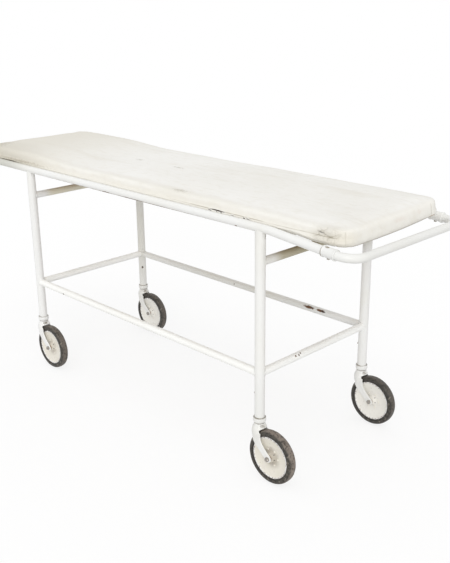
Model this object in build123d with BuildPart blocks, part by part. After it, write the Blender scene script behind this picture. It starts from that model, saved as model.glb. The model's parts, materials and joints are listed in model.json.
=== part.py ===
from build123d import *
import os
from math import cos, floor, pi, radians, sin

# A tubular body trolley on four swivel casters, with an upholstered top and a push handle at each end.
# All sizes are in millimetres. X runs from head to foot, -Y is the near side, Z is up from the floor.

# Frame layout
leg_span = 1200.0
leg_track = 522.0
foot_reach = 326.0
head_reach = 384.0
rail_height = 807.0
low_rail_height = 353.0
top_cross_drop = 102.0
droop_start = 30.0
droop_angle = 5.3
droop_bend = 300.0

# Tubes, and the share of a lip's or head's height that its rounding takes
leg_diameter = 31.75
leg_wall = 2.0
crimp_length = 55.0
saddle_depth = 7.7
notch_width = 14.0
notch_depth = 15.0
tube_diameter = 25.4
tube_wall = 1.6
weld_gap = 0.05
round_share = 0.7

# Push handles, the sleeves that join them to the rails, and the set screws of sleeves and caster stems
handle_bend = 53.0
butt_gap = 0.2
sleeve_length = 44.0
sleeve_on_rail = 16.0
sleeve_bend_gap = 1.0
sleeve_wall = 2.2
sleeve_clearance = 0.15
ring_width = 4.5
ring_height = 1.5
set_screw_at = 19.0
set_screw_diameter = 5.0
set_screw_head = 9.0
set_screw_head_height = 3.6
set_screw_slot = 1.4
set_screw_slot_depth = 1.8
screw_clearance = 0.1

# Deck bars, board, foam and cover
bar_count = 4
bar_overhang = 189.0
bar_width = 30.0
bar_thickness = 5.0
bar_drop = 1.0
pad_end_gap = 46.0
pad_side_gap = 5.3
pad_corner = 55.0
pad_edge = 15.0
board_thickness = 12.0
foam_thickness = 30.5
cover_thickness = 1.2
cover_gap = 0.2
cover_lip = 30.0
deck_screw_spacing = 320.0
deck_screw_diameter = 4.5
deck_screw_grip = 9.0
deck_screw_head = 9.0
deck_screw_head_height = 2.6
tacks_per_bay = 4
tacks_per_end = 4
tack_diameter = 1.6
tack_grip = 8.0
tack_head = 8.0
tack_head_height = 1.8

# Casters
wheel_diameter = 175.0
tyre_width = 29.0
tyre_depth = 19.0
tyre_shoulder = 6.0
tyre_foot_round = 2.0
tyre_seat_gap = 0.1
caster_trail = 54.0
rim_width = 22.0
rim_lip = 3.0
rim_step = 2.0
web_thickness = 10.0
web_flat = 34.0
hub_diameter = 32.0
hub_width = 28.0
hub_flare = 4.0
rivet_count = 6
rivet_circle = 54.0
rivet_diameter = 4.0
rivet_head = 7.0
rivet_head_height = 1.8
rivet_head_taper = 40.0
fit_gap = 0.05
axle_diameter = 8.0
bush_wall = 3.0
hub_end_gap = 0.3
nut_sides = 6
nut_across_flats = 13.0
nut_height = 6.5
nut_chamfer = 0.9
bolt_end = 2.5
bolt_head_height = 5.3
fork_gap = 37.0
fork_wall = 4.0
wheel_clearance = 3.5
crown_height = 188.0
crown_diameter = 35.0
crown_neck = 5.0
crown_bulge = 49.0
bulge_drop = 26.0
dome_drop = 50.0
dome_foot_diameter = 43.0
throat_drop = 30.0
throat_reach = 21.0
pocket_width = 26.0
pocket_rise = 7.0
pocket_drop = 8.5
pocket_depth = 12.0
arm_end_radius = 12.0
arm_end_angle = 45.0
fork_edge = 2.0
king_pin_diameter = 14.0
king_pin_head = 20.0
king_pin_head_height = 4.0
king_pin_seat = 8.0
pin_head_gap = 0.3
swivel_gap = 1.6
ball_diameter = 6.0
ball_rest_gap = 0.02
ball_run_gap = 0.3
socket_flange = 2.0
socket_length = 96.0
stem_screw_inset = 10.0
collar_height = 17.0
collar_diameter = 40.6
collar_rim_diameter = 39.4
collar_foot_diameter = 35.6
collar_foot_rise = 6.0
collar_rim_drop = 5.0
collar_edge = 0.8
collar_mouth = 2.0
collar_mouth_depth = 4.0

# Derived places
leg_radius = leg_diameter / 2
tube_radius = tube_diameter / 2
track_half = leg_track / 2
bar_x = (leg_span + foot_reach + head_reach) / 2
foot_x = bar_x - foot_reach
head_x = foot_x - leg_span
legs = {
    "head_near": (head_x, -track_half),
    "head_far": (head_x, track_half),
    "foot_near": (foot_x, -track_half),
    "foot_far": (foot_x, track_half),
}
sides = {"near": -track_half, "far": track_half}
ends = {"head": head_x, "foot": foot_x}

slope = radians(droop_angle)
droop_x = foot_x + droop_start
foot_plane = Plane(
    origin=(droop_x, 0, rail_height),
    x_dir=(cos(slope), 0, -sin(slope)),
    z_dir=(sin(slope), 0, cos(slope)),
)
head_plane = Plane(origin=(0, 0, rail_height), x_dir=(-1, 0, 0), z_dir=(0, 0, 1))
handle_planes = {"foot": foot_plane, "head": head_plane}
handle_depth = handle_bend + sleeve_bend_gap + sleeve_length - sleeve_on_rail
handle_bars = {"foot": (bar_x - droop_x) / cos(slope), "head": bar_x}

bar_top = rail_height - bar_drop
board_bottom = bar_top + cover_thickness
board_top = board_bottom + board_thickness
foam_top = board_top + foam_thickness
pad_skin = cover_thickness + cover_gap
pad_length = 2 * (bar_x - pad_end_gap)
pad_width = leg_track - tube_diameter - 2 * pad_side_gap
bar_first = -pad_length / 2 + bar_overhang
bar_pitch = (pad_length - 2 * bar_overhang) / (bar_count - 1)
bar_places = [bar_first + i * bar_pitch for i in range(bar_count)]
deck_screw_places = [(x, s * deck_screw_spacing / 2) for x in bar_places for s in (-1, 1)]

wheel_radius = wheel_diameter / 2
disc_radius = wheel_radius - tyre_depth
axle_radius = axle_diameter / 2
bush_radius = axle_radius + fit_gap + bush_wall
fork_half = fork_gap / 2 + fork_wall
crown_radius = crown_diameter / 2
bulge_radius = crown_bulge / 2
pin_radius = king_pin_diameter / 2
collar_bottom = crown_height + swivel_gap
ball_centre = crown_height + ball_rest_gap + ball_diameter / 2
race_height = ball_centre + ball_diameter / 2 + ball_run_gap
leg_foot = race_height + socket_flange
socket_top = leg_foot + socket_length
stem_screw_height = socket_top - stem_screw_inset
leg_top = rail_height - tube_radius + saddle_depth
top_cross_height = rail_height - top_cross_drop

parts = {}


def keep(name, part):
    """Label a finished piece and keep it for export."""
    part.label = name
    parts[name] = part


def corner_side(x, y):
    """Upright plane through a leg axis, with X along the trolley and Y up."""
    return Plane(origin=(x, y, 0), x_dir=(1, 0, 0), z_dir=(0, -1, 0))


def upright(x, y):
    """Leg and swivel axis of a corner."""
    return Axis((x, y, 0), (0, 0, 1))


def wheel_section(x, y):
    """Plane through the axle, with X along the axle and Y outward from it."""
    return Plane(origin=(x + caster_trail, y, wheel_radius), x_dir=(0, 1, 0), z_dir=(1, 0, 0))


def axle_line(x, y):
    """Axis of a caster's axle."""
    return Axis((x + caster_trail, y, wheel_radius), (0, 1, 0))


def rail_rod(y, radius):
    """Solid rod along a side rail, straight and then drooping past the foot leg."""
    head_end = head_plane.from_local_coords((handle_bars["head"] - handle_depth, -y, 0))
    foot_end = foot_plane.from_local_coords((handle_bars["foot"] - handle_depth, y, 0))
    with BuildPart() as rod:
        with BuildLine() as path:
            FilletPolyline(head_end, (droop_x, y, rail_height), foot_end, radius=droop_bend)
        with BuildSketch(path.line ^ 0):
            Circle(radius)
        sweep(path=path.line)
    return rod.part


def straight_rod(start, end, radius):
    """Solid rod between two points."""
    with BuildPart() as rod:
        with BuildLine() as path:
            Line(start, end)
        with BuildSketch(path.line ^ 0):
            Circle(radius)
        sweep(path=path.line)
    return rod.part


def pad_block(bottom, top, grow):
    """Round-cornered block of the top, grown all round, with its upper edge rounded."""
    with BuildPart() as block:
        with BuildSketch(Plane.XY.offset(bottom)):
            shrink = 2 * (pad_skin - grow)
            RectangleRounded(pad_length - shrink, pad_width - shrink, pad_corner + grow)
        extrude(amount=top - bottom)
        fillet(block.faces().sort_by(Axis.Z)[-1].edges(), pad_edge + grow)
    return block.part


# Rods that cut the saddles and coped ends, a weld gap larger than the tubes they follow
rail_cutters = {side: rail_rod(y, tube_radius + weld_gap) for side, y in sides.items()}
leg_cutters = [straight_rod((x, y, 0), (x, y, rail_height), leg_radius + weld_gap) for x, y in legs.values()]
low_side_cutters = [
    straight_rod((head_x, y, low_rail_height), (foot_x, y, low_rail_height), tube_radius + weld_gap)
    for y in sides.values()
]


# Side rails
for side, y in sides.items():
    with BuildPart() as side_rail:
        add(rail_rod(y, tube_radius))
        add(rail_rod(y, tube_radius - tube_wall), mode=Mode.SUBTRACT)
    keep(f"side_rail_{side}", side_rail.part)


# Legs, squeezed to the rail's width at the top, saddled under the rail and notched on the foot side
def leg_form(x, y, inset):
    """Leg as a solid, inset from its outer skin."""
    squeeze = leg_radius - tube_radius
    with BuildPart() as form:
        with BuildSketch(Plane((x, y, leg_foot))):
            Circle(leg_radius - inset)
        extrude(amount=leg_top - crimp_length - leg_foot)
        with BuildSketch(Plane((x, y, leg_top - crimp_length))):
            Circle(leg_radius - inset)
        with BuildSketch(Plane((x, y, leg_top))):
            Ellipse(leg_radius + squeeze - inset, leg_radius - squeeze - inset)
        loft()
    return form.part


for corner, (x, y) in legs.items():
    with BuildPart() as leg:
        add(leg_form(x, y, 0))
        add(leg_form(x, y, leg_wall), mode=Mode.SUBTRACT)
        add(rail_cutters["near" if y < 0 else "far"], mode=Mode.SUBTRACT)
        with BuildSketch(Plane(origin=(x, y, rail_height), x_dir=(0, 1, 0), z_dir=(1, 0, 0))):
            notch_round = notch_width / 2 - tube_radius - notch_depth
            with Locations((0, notch_round)):
                Circle(notch_width / 2)
            with Locations((0, notch_round / 2)):
                Rectangle(notch_width, -notch_round)
        extrude(amount=leg_diameter, mode=Mode.SUBTRACT)
        with BuildSketch(Plane(origin=(x, y, stem_screw_height), z_dir=(-1, 0, 0))):
            Circle(set_screw_diameter / 2 + screw_clearance)
        extrude(amount=leg_diameter, mode=Mode.SUBTRACT)
    keep(f"leg_{corner}", leg.part)


# Lower and upper stretchers, coped to the legs
def stretcher(start, end, cutters):
    """Tube between two leg axes, cut back to the faces it is welded to."""
    with BuildPart() as tube:
        add(straight_rod(start, end, tube_radius))
        add(straight_rod(start, end, tube_radius - tube_wall), mode=Mode.SUBTRACT)
        for cutter in cutters:
            add(cutter, mode=Mode.SUBTRACT)
    return tube.part


for side, y in sides.items():
    low_side = stretcher((head_x, y, low_rail_height), (foot_x, y, low_rail_height), leg_cutters)
    keep(f"lower_side_rail_{side}", low_side)

for end, x in ends.items():
    low_cross = stretcher(
        (x, -track_half, low_rail_height), (x, track_half, low_rail_height), leg_cutters + low_side_cutters
    )
    keep(f"lower_cross_rail_{end}", low_cross)
    top_cross = stretcher((x, -track_half, top_cross_height), (x, track_half, top_cross_height), leg_cutters)
    keep(f"upper_cross_rail_{end}", top_cross)


# Push handles: a U of tube in the plane of each end's rails
for end, plane in handle_planes.items():
    tip = handle_bars[end]
    butt = tip - handle_depth + butt_gap
    with BuildPart() as handle:
        with BuildLine(plane) as path:
            FilletPolyline(
                (butt, -track_half),
                (tip, -track_half),
                (tip, track_half),
                (butt, track_half),
                radius=handle_bend,
            )
        with BuildSketch(path.line ^ 0):
            Circle(tube_radius)
            Circle(tube_radius - tube_wall, mode=Mode.SUBTRACT)
        sweep(path=path.line)
    keep(f"push_handle_{end}", handle.part)


# Ringed sleeves over the joints between rails and handles, each with a set screw below
sleeve_bore = tube_radius + sleeve_clearance
sleeve_radius = sleeve_bore + sleeve_wall
sleeve_spots = [
    plane.location * Location((handle_bars[end] - handle_depth - sleeve_on_rail, y, 0))
    for end, plane in handle_planes.items()
    for y in sides.values()
]

with BuildPart() as sleeve_form:
    with BuildSketch(Plane.XY):
        with BuildLine():
            Polyline(
                (0, sleeve_bore),
                (0, sleeve_radius + ring_height),
                (ring_width, sleeve_radius + ring_height),
                (ring_width, sleeve_radius),
                (sleeve_length - ring_width, sleeve_radius),
                (sleeve_length - ring_width, sleeve_radius + ring_height),
                (sleeve_length, sleeve_radius + ring_height),
                (sleeve_length, sleeve_bore),
                close=True,
            )
        make_face()
    revolve(axis=Axis.X)
    ring_edges = sleeve_form.edges().filter_by(GeomType.CIRCLE).sort_by(SortBy.RADIUS)[-4:]
    fillet(ring_edges, ring_height * round_share)
    with BuildSketch(Plane.XY):
        with Locations((set_screw_at, 0)):
            Circle(set_screw_diameter / 2 + screw_clearance)
    extrude(amount=-2 * sleeve_radius, mode=Mode.SUBTRACT)

with BuildPart() as handle_sleeves:
    with Locations(*sleeve_spots):
        add(sleeve_form.part)
keep("handle_sleeves", handle_sleeves.part)


# Slotted set screws: one up into each sleeve, one from the head side into each leg's caster socket
def set_screw(grip):
    """Screw with its head seated at the origin and its shank standing up from there."""
    with BuildPart() as screw:
        with BuildSketch(Plane.XY):
            Circle(set_screw_diameter / 2)
        extrude(amount=grip)
        with BuildSketch(Plane.XY):
            Circle(set_screw_head / 2)
        extrude(amount=-set_screw_head_height)
        with BuildSketch(Plane.XY.offset(-set_screw_head_height)):
            Rectangle(set_screw_head, set_screw_slot)
        extrude(amount=set_screw_slot_depth, mode=Mode.SUBTRACT)
    return screw.part


sleeve_screw_spots = [spot * Location((set_screw_at, 0, -sleeve_radius)) for spot in sleeve_spots]
stem_screw_spots = [
    Plane(origin=(x - leg_radius, y, stem_screw_height), z_dir=(1, 0, 0)).location for x, y in legs.values()
]
with BuildPart() as set_screws:
    with Locations(*sleeve_screw_spots):
        add(set_screw(sleeve_radius - tube_radius))
    with Locations(*stem_screw_spots):
        add(set_screw(leg_wall + fit_gap))
keep("set_screws", set_screws.part)


# Flat bars between the rails, which carry the board
with BuildPart() as deck_bars:
    with BuildSketch(Plane.XY.offset(bar_top - bar_thickness)):
        with Locations(*[(x, 0) for x in bar_places]):
            Rectangle(bar_width, leg_track)
        with Locations(*deck_screw_places):
            Circle(deck_screw_diameter / 2 + screw_clearance, mode=Mode.SUBTRACT)
    extrude(amount=bar_thickness)
    for cutter in rail_cutters.values():
        add(cutter, mode=Mode.SUBTRACT)
keep("deck_bars", deck_bars.part)


# Places of the tacks that hold the cover's turned-in edge under the board
tack_y = pad_width / 2 - pad_skin - cover_lip / 2
tack_x = pad_length / 2 - pad_skin - cover_lip / 2
bay_edges = [pad_corner - tack_x] + bar_places + [tack_x - pad_corner]
tack_places = []
for bay_start, bay_end in zip(bay_edges, bay_edges[1:]):
    tack_pitch = (bay_end - bay_start) / (tacks_per_bay + 1)
    for i in range(tacks_per_bay):
        along = bay_start + (i + 1) * tack_pitch
        tack_places += [(along, s * tack_y) for s in (-1, 1)]
end_pitch = (pad_width - 2 * pad_corner) / (tacks_per_end - 1)
for i in range(tacks_per_end):
    tack_places += [(s * tack_x, pad_corner - pad_width / 2 + i * end_pitch) for s in (-1, 1)]


# Board, foam and cover of the top
pad_core = pad_block(board_bottom, foam_top, 0)

with BuildPart() as deck_board:
    add(pad_core)
    split(bisect_by=Plane.XY.offset(board_top), keep=Keep.BOTTOM)
    with BuildSketch(Plane.XY.offset(board_bottom)):
        with Locations(*deck_screw_places):
            Circle(deck_screw_diameter / 2)
    extrude(amount=deck_screw_grip, mode=Mode.SUBTRACT)
    with BuildSketch(Plane.XY.offset(board_bottom)):
        with Locations(*tack_places):
            Circle(tack_diameter / 2)
    extrude(amount=tack_grip, mode=Mode.SUBTRACT)
keep("deck_board", deck_board.part)

with BuildPart() as pad_foam:
    add(pad_core)
    split(bisect_by=Plane.XY.offset(board_top), keep=Keep.TOP)
keep("pad_foam", pad_foam.part)

with BuildPart() as pad_cover:
    add(pad_block(bar_top, foam_top + pad_skin, pad_skin))
    add(pad_block(board_bottom, foam_top + cover_gap, cover_gap), mode=Mode.SUBTRACT)
    with BuildSketch(Plane.XY.offset(bar_top)):
        lip_inset = 2 * (pad_skin + cover_lip)
        RectangleRounded(pad_length - lip_inset, pad_width - lip_inset, pad_corner - cover_lip)
        with Locations(*tack_places):
            Circle(tack_diameter / 2 + screw_clearance)
    extrude(amount=cover_thickness, mode=Mode.SUBTRACT)
keep("pad_cover", pad_cover.part)


# Screws from the bars into the board, and the cover's tacks
with BuildPart() as deck_screw_form:
    with BuildSketch(Plane.XY.offset(bar_top - bar_thickness)):
        Circle(deck_screw_diameter / 2)
    extrude(amount=board_bottom + deck_screw_grip - bar_top + bar_thickness)
    with BuildSketch(Plane.XY.offset(bar_top - bar_thickness)):
        Circle(deck_screw_head / 2)
    extrude(amount=-deck_screw_head_height)
    fillet(deck_screw_form.edges().sort_by(Axis.Z)[0], deck_screw_head_height * round_share)
with BuildPart() as deck_screws:
    with Locations(*[(x, y, 0) for x, y in deck_screw_places]):
        add(deck_screw_form.part)
keep("deck_screws", deck_screws.part)

with BuildPart() as tack_form:
    with BuildSketch(Plane.XY.offset(bar_top)):
        Circle(tack_diameter / 2)
    extrude(amount=board_bottom + tack_grip - bar_top)
    with BuildSketch(Plane.XY.offset(bar_top)):
        Circle(tack_head / 2)
    extrude(amount=-tack_head_height)
    fillet(tack_form.edges().sort_by(Axis.Z)[0], tack_head_height * round_share)
with BuildPart() as cover_tacks:
    with Locations(*[(x, y, 0) for x, y in tack_places]):
        add(tack_form.part)
keep("cover_tacks", cover_tacks.part)


# Collars and sockets in the legs' feet
collar_spots = [(x, y, 0) for x, y in legs.values()]
collar_bore = leg_radius + fit_gap
collar_top = collar_bottom + collar_height

with BuildPart() as collar_form:
    with BuildSketch(Plane.XZ):
        with BuildLine():
            Polyline(
                (collar_bore + collar_mouth, collar_top),
                (collar_bore, collar_top - collar_mouth_depth),
                (collar_bore, collar_bottom),
                (collar_foot_diameter / 2, collar_bottom),
                (collar_diameter / 2, collar_bottom + collar_foot_rise),
                (collar_diameter / 2, collar_top - collar_rim_drop),
                (collar_rim_diameter / 2, collar_top),
                close=True,
            )
        make_face()
    revolve(axis=Axis.Z)
    collar_rings = collar_form.edges().filter_by(GeomType.CIRCLE).group_by(Axis.Z)
    outer_rings = [collar_rings[end].sort_by(SortBy.RADIUS)[-1] for end in (0, -1)]
    fillet(outer_rings, collar_edge)
with BuildPart() as caster_collars:
    with Locations(*collar_spots):
        add(collar_form.part)
keep("caster_collars", caster_collars.part)

with BuildPart() as socket_form:
    with BuildSketch(Plane.XY.offset(race_height)):
        Circle(leg_radius)
    extrude(amount=socket_flange)
    with BuildSketch(Plane.XY.offset(leg_foot)):
        Circle(leg_radius - leg_wall - fit_gap)
    extrude(amount=socket_length)
    with BuildSketch(Plane.XY.offset(race_height)):
        Circle(pin_radius + fit_gap)
    extrude(amount=socket_flange + socket_length, mode=Mode.SUBTRACT)
with BuildPart() as caster_sockets:
    with Locations(*collar_spots):
        add(socket_form.part)
keep("caster_sockets", caster_sockets.part)


# Caster forks: domed crown, pocketed behind, with two arms swept back to the axle
def crown_back(x, y):
    """Plane across the back of the crown, at the height of its pocket."""
    return Plane(
        origin=(x + bulge_radius, y, crown_height - pocket_drop), x_dir=(0, 1, 0), z_dir=(1, 0, 0)
    )


def fork_outline():
    """Side outline of the fork, from the crown's front edge round the axle end to the crown's rear."""
    reach = radians(arm_end_angle)
    along = (cos(reach), -sin(reach))
    front = -fork_half - fork_edge
    bulge = (front, crown_height - bulge_drop)
    throat = (throat_reach, crown_height - throat_drop)
    end_low = (caster_trail + arm_end_radius * along[1], wheel_radius - arm_end_radius * along[0])
    end_tip = (caster_trail + arm_end_radius * along[0], wheel_radius + arm_end_radius * along[1])
    end_high = (caster_trail - arm_end_radius * along[1], wheel_radius + arm_end_radius * along[0])
    Spline((front, crown_height), bulge, end_low, tangents=((0, -1), along))
    ThreePointArc(end_low, end_tip, end_high)
    Spline(end_high, throat, tangents=((-along[0], -along[1]), (0, 1)))
    Polyline(throat, (throat_reach, crown_height), (front, crown_height))


def crown_outline():
    """Half outline of the crown: a neck, a domed shoulder and a belly that narrows into the arms."""
    neck_foot = (crown_radius, crown_height - crown_neck)
    bulge = (bulge_radius, crown_height - bulge_drop)
    dome_foot = (dome_foot_diameter / 2, crown_height - dome_drop)
    TangentArc(bulge, neck_foot, tangent=(0, 1))
    TangentArc(bulge, dome_foot, tangent=(0, -1))
    Polyline(
        dome_foot, (0, crown_height - dome_drop), (0, crown_height), (crown_radius, crown_height), neck_foot
    )


def fork(x, y):
    """Fork of the caster under one leg."""
    plan_length = caster_trail + arm_end_radius
    with BuildPart() as piece:
        with BuildSketch(corner_side(x, y)):
            with BuildLine():
                fork_outline()
            make_face()
        extrude(amount=fork_half, both=True)
        fillet(piece.faces().filter_by(Axis.Y).edges(), fork_edge)
        with BuildSketch(Plane((x, y, 0))):
            Circle(fork_half)
            with Locations((plan_length / 2, 0)):
                Rectangle(plan_length, 2 * fork_half)
        extrude(amount=crown_height - bulge_drop, mode=Mode.INTERSECT)
        with BuildSketch(corner_side(x, y)):
            with BuildLine():
                crown_outline()
            make_face()
        revolve(axis=upright(x, y))
        with BuildSketch(crown_back(x, y)):
            SlotOverall(pocket_width, pocket_rise)
        extrude(amount=-pocket_depth, mode=Mode.SUBTRACT)
        with BuildSketch(corner_side(x, y)):
            with Locations((caster_trail, wheel_radius)):
                Circle(wheel_radius + wheel_clearance)
        extrude(amount=fork_gap / 2, both=True, mode=Mode.SUBTRACT)
        with BuildSketch(corner_side(x, y)):
            with Locations((caster_trail, wheel_radius)):
                Circle(axle_radius + fit_gap)
        extrude(amount=fork_half, both=True, mode=Mode.SUBTRACT)
        with BuildSketch(Plane((x, y, crown_height))):
            Circle(pin_radius + fit_gap)
        extrude(amount=-crown_height, mode=Mode.SUBTRACT)
        with BuildSketch(Plane((x, y, crown_height - king_pin_seat))):
            Circle(king_pin_head / 2 + fit_gap)
        extrude(amount=-crown_height, mode=Mode.SUBTRACT)
    return piece.part


def king_pin(x, y):
    """Pin that carries the fork: headed above the socket and peened into the crown."""
    seat = crown_height - king_pin_seat
    head = king_pin_head / 2
    shoulder = socket_top + pin_head_gap
    with BuildPart() as piece:
        with BuildSketch(corner_side(x, y)):
            with BuildLine():
                Polyline(
                    (0, seat - king_pin_head_height),
                    (head, seat),
                    (pin_radius, seat),
                    (pin_radius, shoulder),
                    (head, shoulder),
                    (head, shoulder + king_pin_head_height),
                    (0, shoulder + king_pin_head_height),
                    close=True,
                )
            make_face()
        revolve(axis=upright(x, y))
    return piece.part


def swivel_balls(x, y):
    """Ring of thrust balls between the crown and the socket."""
    ring = (pin_radius + collar_bore) / 2
    count = floor(2 * pi * ring / (ball_diameter + ball_run_gap))
    with BuildPart() as piece:
        with Locations((x, y, ball_centre)):
            with PolarLocations(ring, count):
                Sphere(ball_diameter / 2)
    return piece.part


# Axle and wheel: nut on the outer side of the trolley
def axle_plane(x, y, out, offset):
    """Plane across the axle, facing the trolley's outer side, a distance out from the fork's middle."""
    return Plane(
        origin=(x + caster_trail, y + out * offset, wheel_radius), x_dir=(1, 0, 0), z_dir=(0, out, 0)
    )


def axle_bolt(x, y, out):
    """Hexagon-headed axle bolt."""
    with BuildPart() as piece:
        with BuildSketch(axle_plane(x, y, out, -fork_half)):
            Circle(axle_radius)
        extrude(amount=2 * fork_half + nut_height + bolt_end)
        chamfer(piece.faces().sort_by(Axis.Y)[-1 if out > 0 else 0].edges(), nut_chamfer)
        with BuildSketch(axle_plane(x, y, out, -fork_half)):
            RegularPolygon(nut_across_flats / 2, nut_sides, major_radius=False)
        extrude(amount=-bolt_head_height)
    return piece.part


def axle_nut(x, y, out):
    """Hexagon nut on the outer arm."""
    with BuildPart() as piece:
        with BuildSketch(axle_plane(x, y, out, fork_half)):
            RegularPolygon(nut_across_flats / 2, nut_sides, major_radius=False)
        extrude(amount=nut_height)
        chamfer(piece.faces().sort_by(Axis.Y)[-1 if out > 0 else 0].edges(), nut_chamfer)
        with BuildSketch(axle_plane(x, y, out, fork_half)):
            Circle(axle_radius + fit_gap)
        extrude(amount=nut_height, mode=Mode.SUBTRACT)
    return piece.part


def hub_bush(x, y):
    """Bush pressed into the wheel's hub, running on the axle bolt."""
    with BuildPart() as piece:
        with BuildSketch(axle_plane(x, y, 1, 0)):
            Circle(bush_radius)
            Circle(axle_radius + fit_gap, mode=Mode.SUBTRACT)
        extrude(amount=fork_gap / 2 - hub_end_gap, both=True)
    return piece.part


def wheel_disc(x, y):
    """Dished wheel centre with a rim, a flat round the hub and a raised hub."""
    half = [
        (hub_width / 2, bush_radius + fit_gap),
        (hub_width / 2, hub_diameter / 2),
        (web_thickness / 2, hub_diameter / 2 + hub_flare),
        (web_thickness / 2, web_flat),
        (rim_width / 2 - rim_step, disc_radius - rim_lip - rim_step),
        (rim_width / 2, disc_radius - rim_lip),
        (rim_width / 2, disc_radius),
    ]
    other_half = [(-a, r) for a, r in reversed(half)]
    with BuildPart() as piece:
        with BuildSketch(wheel_section(x, y)):
            with BuildLine():
                Polyline(*half, *other_half, close=True)
            make_face()
        revolve(axis=axle_line(x, y))
        with BuildSketch(axle_plane(x, y, 1, 0)):
            with PolarLocations(rivet_circle / 2, rivet_count):
                Circle(rivet_diameter / 2 + fit_gap)
        extrude(amount=web_thickness, both=True, mode=Mode.SUBTRACT)
    return piece.part


def hub_rivets(x, y):
    """Round-headed rivets through the wheel's web."""
    with BuildPart() as piece:
        with BuildSketch(axle_plane(x, y, 1, 0)):
            with PolarLocations(rivet_circle / 2, rivet_count):
                Circle(rivet_diameter / 2)
        extrude(amount=web_thickness / 2, both=True)
        for out in (-1, 1):
            with BuildSketch(axle_plane(x, y, out, web_thickness / 2)):
                with PolarLocations(rivet_circle / 2, rivet_count):
                    Circle(rivet_head / 2)
            extrude(amount=rivet_head_height, taper=rivet_head_taper)
    return piece.part


def tyre(x, y):
    """Solid rubber tyre with rounded shoulders."""
    with BuildPart() as piece:
        with BuildSketch(wheel_section(x, y)) as section:
            with Locations((0, wheel_radius - (tyre_depth - tyre_seat_gap) / 2)):
                Rectangle(tyre_width, tyre_depth - tyre_seat_gap)
            fillet(section.vertices().sort_by(Axis.Y)[-2:], tyre_shoulder)
            fillet(section.vertices().sort_by(Axis.Y)[:2], tyre_foot_round)
        revolve(axis=axle_line(x, y))
    return piece.part


for corner, (x, y) in legs.items():
    out = 1 if y > 0 else -1
    keep(f"fork_{corner}", fork(x, y))
    keep(f"king_pin_{corner}", king_pin(x, y))
    keep(f"swivel_balls_{corner}", swivel_balls(x, y))
    keep(f"axle_bolt_{corner}", axle_bolt(x, y, out))
    keep(f"axle_nut_{corner}", axle_nut(x, y, out))
    keep(f"hub_bush_{corner}", hub_bush(x, y))
    keep(f"wheel_disc_{corner}", wheel_disc(x, y))
    keep(f"hub_rivets_{corner}", hub_rivets(x, y))
    keep(f"tyre_{corner}", tyre(x, y))

os.makedirs("parts", exist_ok=True)
for name, part in parts.items():
    export_step(part, f"parts/{name}.step")
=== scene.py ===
"""Finish of a tubular body trolley: padded top, welds, casters, old white paint and a plain studio."""
import json
from math import cos, pi, radians, sin, sqrt

import bmesh
import bpy
import numpy as np
from bpy.props import FloatProperty, FloatVectorProperty, IntProperty, PointerProperty
from bpy.types import Operator, Panel, PropertyGroup
from mathutils import Matrix, Vector, noise


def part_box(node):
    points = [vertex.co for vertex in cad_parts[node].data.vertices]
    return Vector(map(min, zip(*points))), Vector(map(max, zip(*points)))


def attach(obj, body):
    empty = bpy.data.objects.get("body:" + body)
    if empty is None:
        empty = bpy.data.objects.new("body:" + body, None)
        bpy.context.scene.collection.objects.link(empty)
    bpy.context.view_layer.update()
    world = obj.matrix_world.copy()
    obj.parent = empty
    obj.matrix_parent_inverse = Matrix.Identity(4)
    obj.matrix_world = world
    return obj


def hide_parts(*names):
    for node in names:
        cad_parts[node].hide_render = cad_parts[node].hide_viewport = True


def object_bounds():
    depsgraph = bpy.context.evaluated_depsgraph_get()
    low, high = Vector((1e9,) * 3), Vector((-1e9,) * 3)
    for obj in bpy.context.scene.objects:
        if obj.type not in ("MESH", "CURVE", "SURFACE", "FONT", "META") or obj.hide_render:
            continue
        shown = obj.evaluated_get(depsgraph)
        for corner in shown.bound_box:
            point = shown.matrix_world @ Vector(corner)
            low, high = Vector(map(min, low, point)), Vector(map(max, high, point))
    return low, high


bl_info = {
    "name": "Body Trolley Finish",
    "version": (1, 0, 0),
    "blender": (4, 5, 0),
    "location": "View3D > Sidebar > Trolley",
    "description": "Dresses a tubular body trolley with its padded top, welds, casters, paint and studio",
    "category": "Object",
}

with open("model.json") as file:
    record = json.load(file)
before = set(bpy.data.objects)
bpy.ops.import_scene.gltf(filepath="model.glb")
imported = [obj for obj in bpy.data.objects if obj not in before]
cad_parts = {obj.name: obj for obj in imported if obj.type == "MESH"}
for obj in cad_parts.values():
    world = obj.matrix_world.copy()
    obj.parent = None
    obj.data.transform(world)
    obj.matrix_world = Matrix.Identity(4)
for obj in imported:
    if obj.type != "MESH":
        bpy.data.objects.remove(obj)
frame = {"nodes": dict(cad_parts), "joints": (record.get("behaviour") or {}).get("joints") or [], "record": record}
cad_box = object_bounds()

CORNERS = ("head_near", "head_far", "foot_near", "foot_far")


# Places and sizes read from the frame

def middle(node):
    """Centre of a node's box."""
    low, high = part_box(node)
    return (low + high) / 2


def half_size(node):
    """Half of a node's box."""
    low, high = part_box(node)
    return (high - low) / 2


def beside(centre, along, across, up):
    """Place that lies off the middle of a piece."""
    return centre + Vector((along, across, up))


def screen_colour(red, green, blue):
    """Linear colour for one that is given as it looks on a screen, 0 to 255."""
    return tuple(((part / 255 + 0.055) / 1.055) ** 2.4 for part in (red, green, blue))


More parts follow.
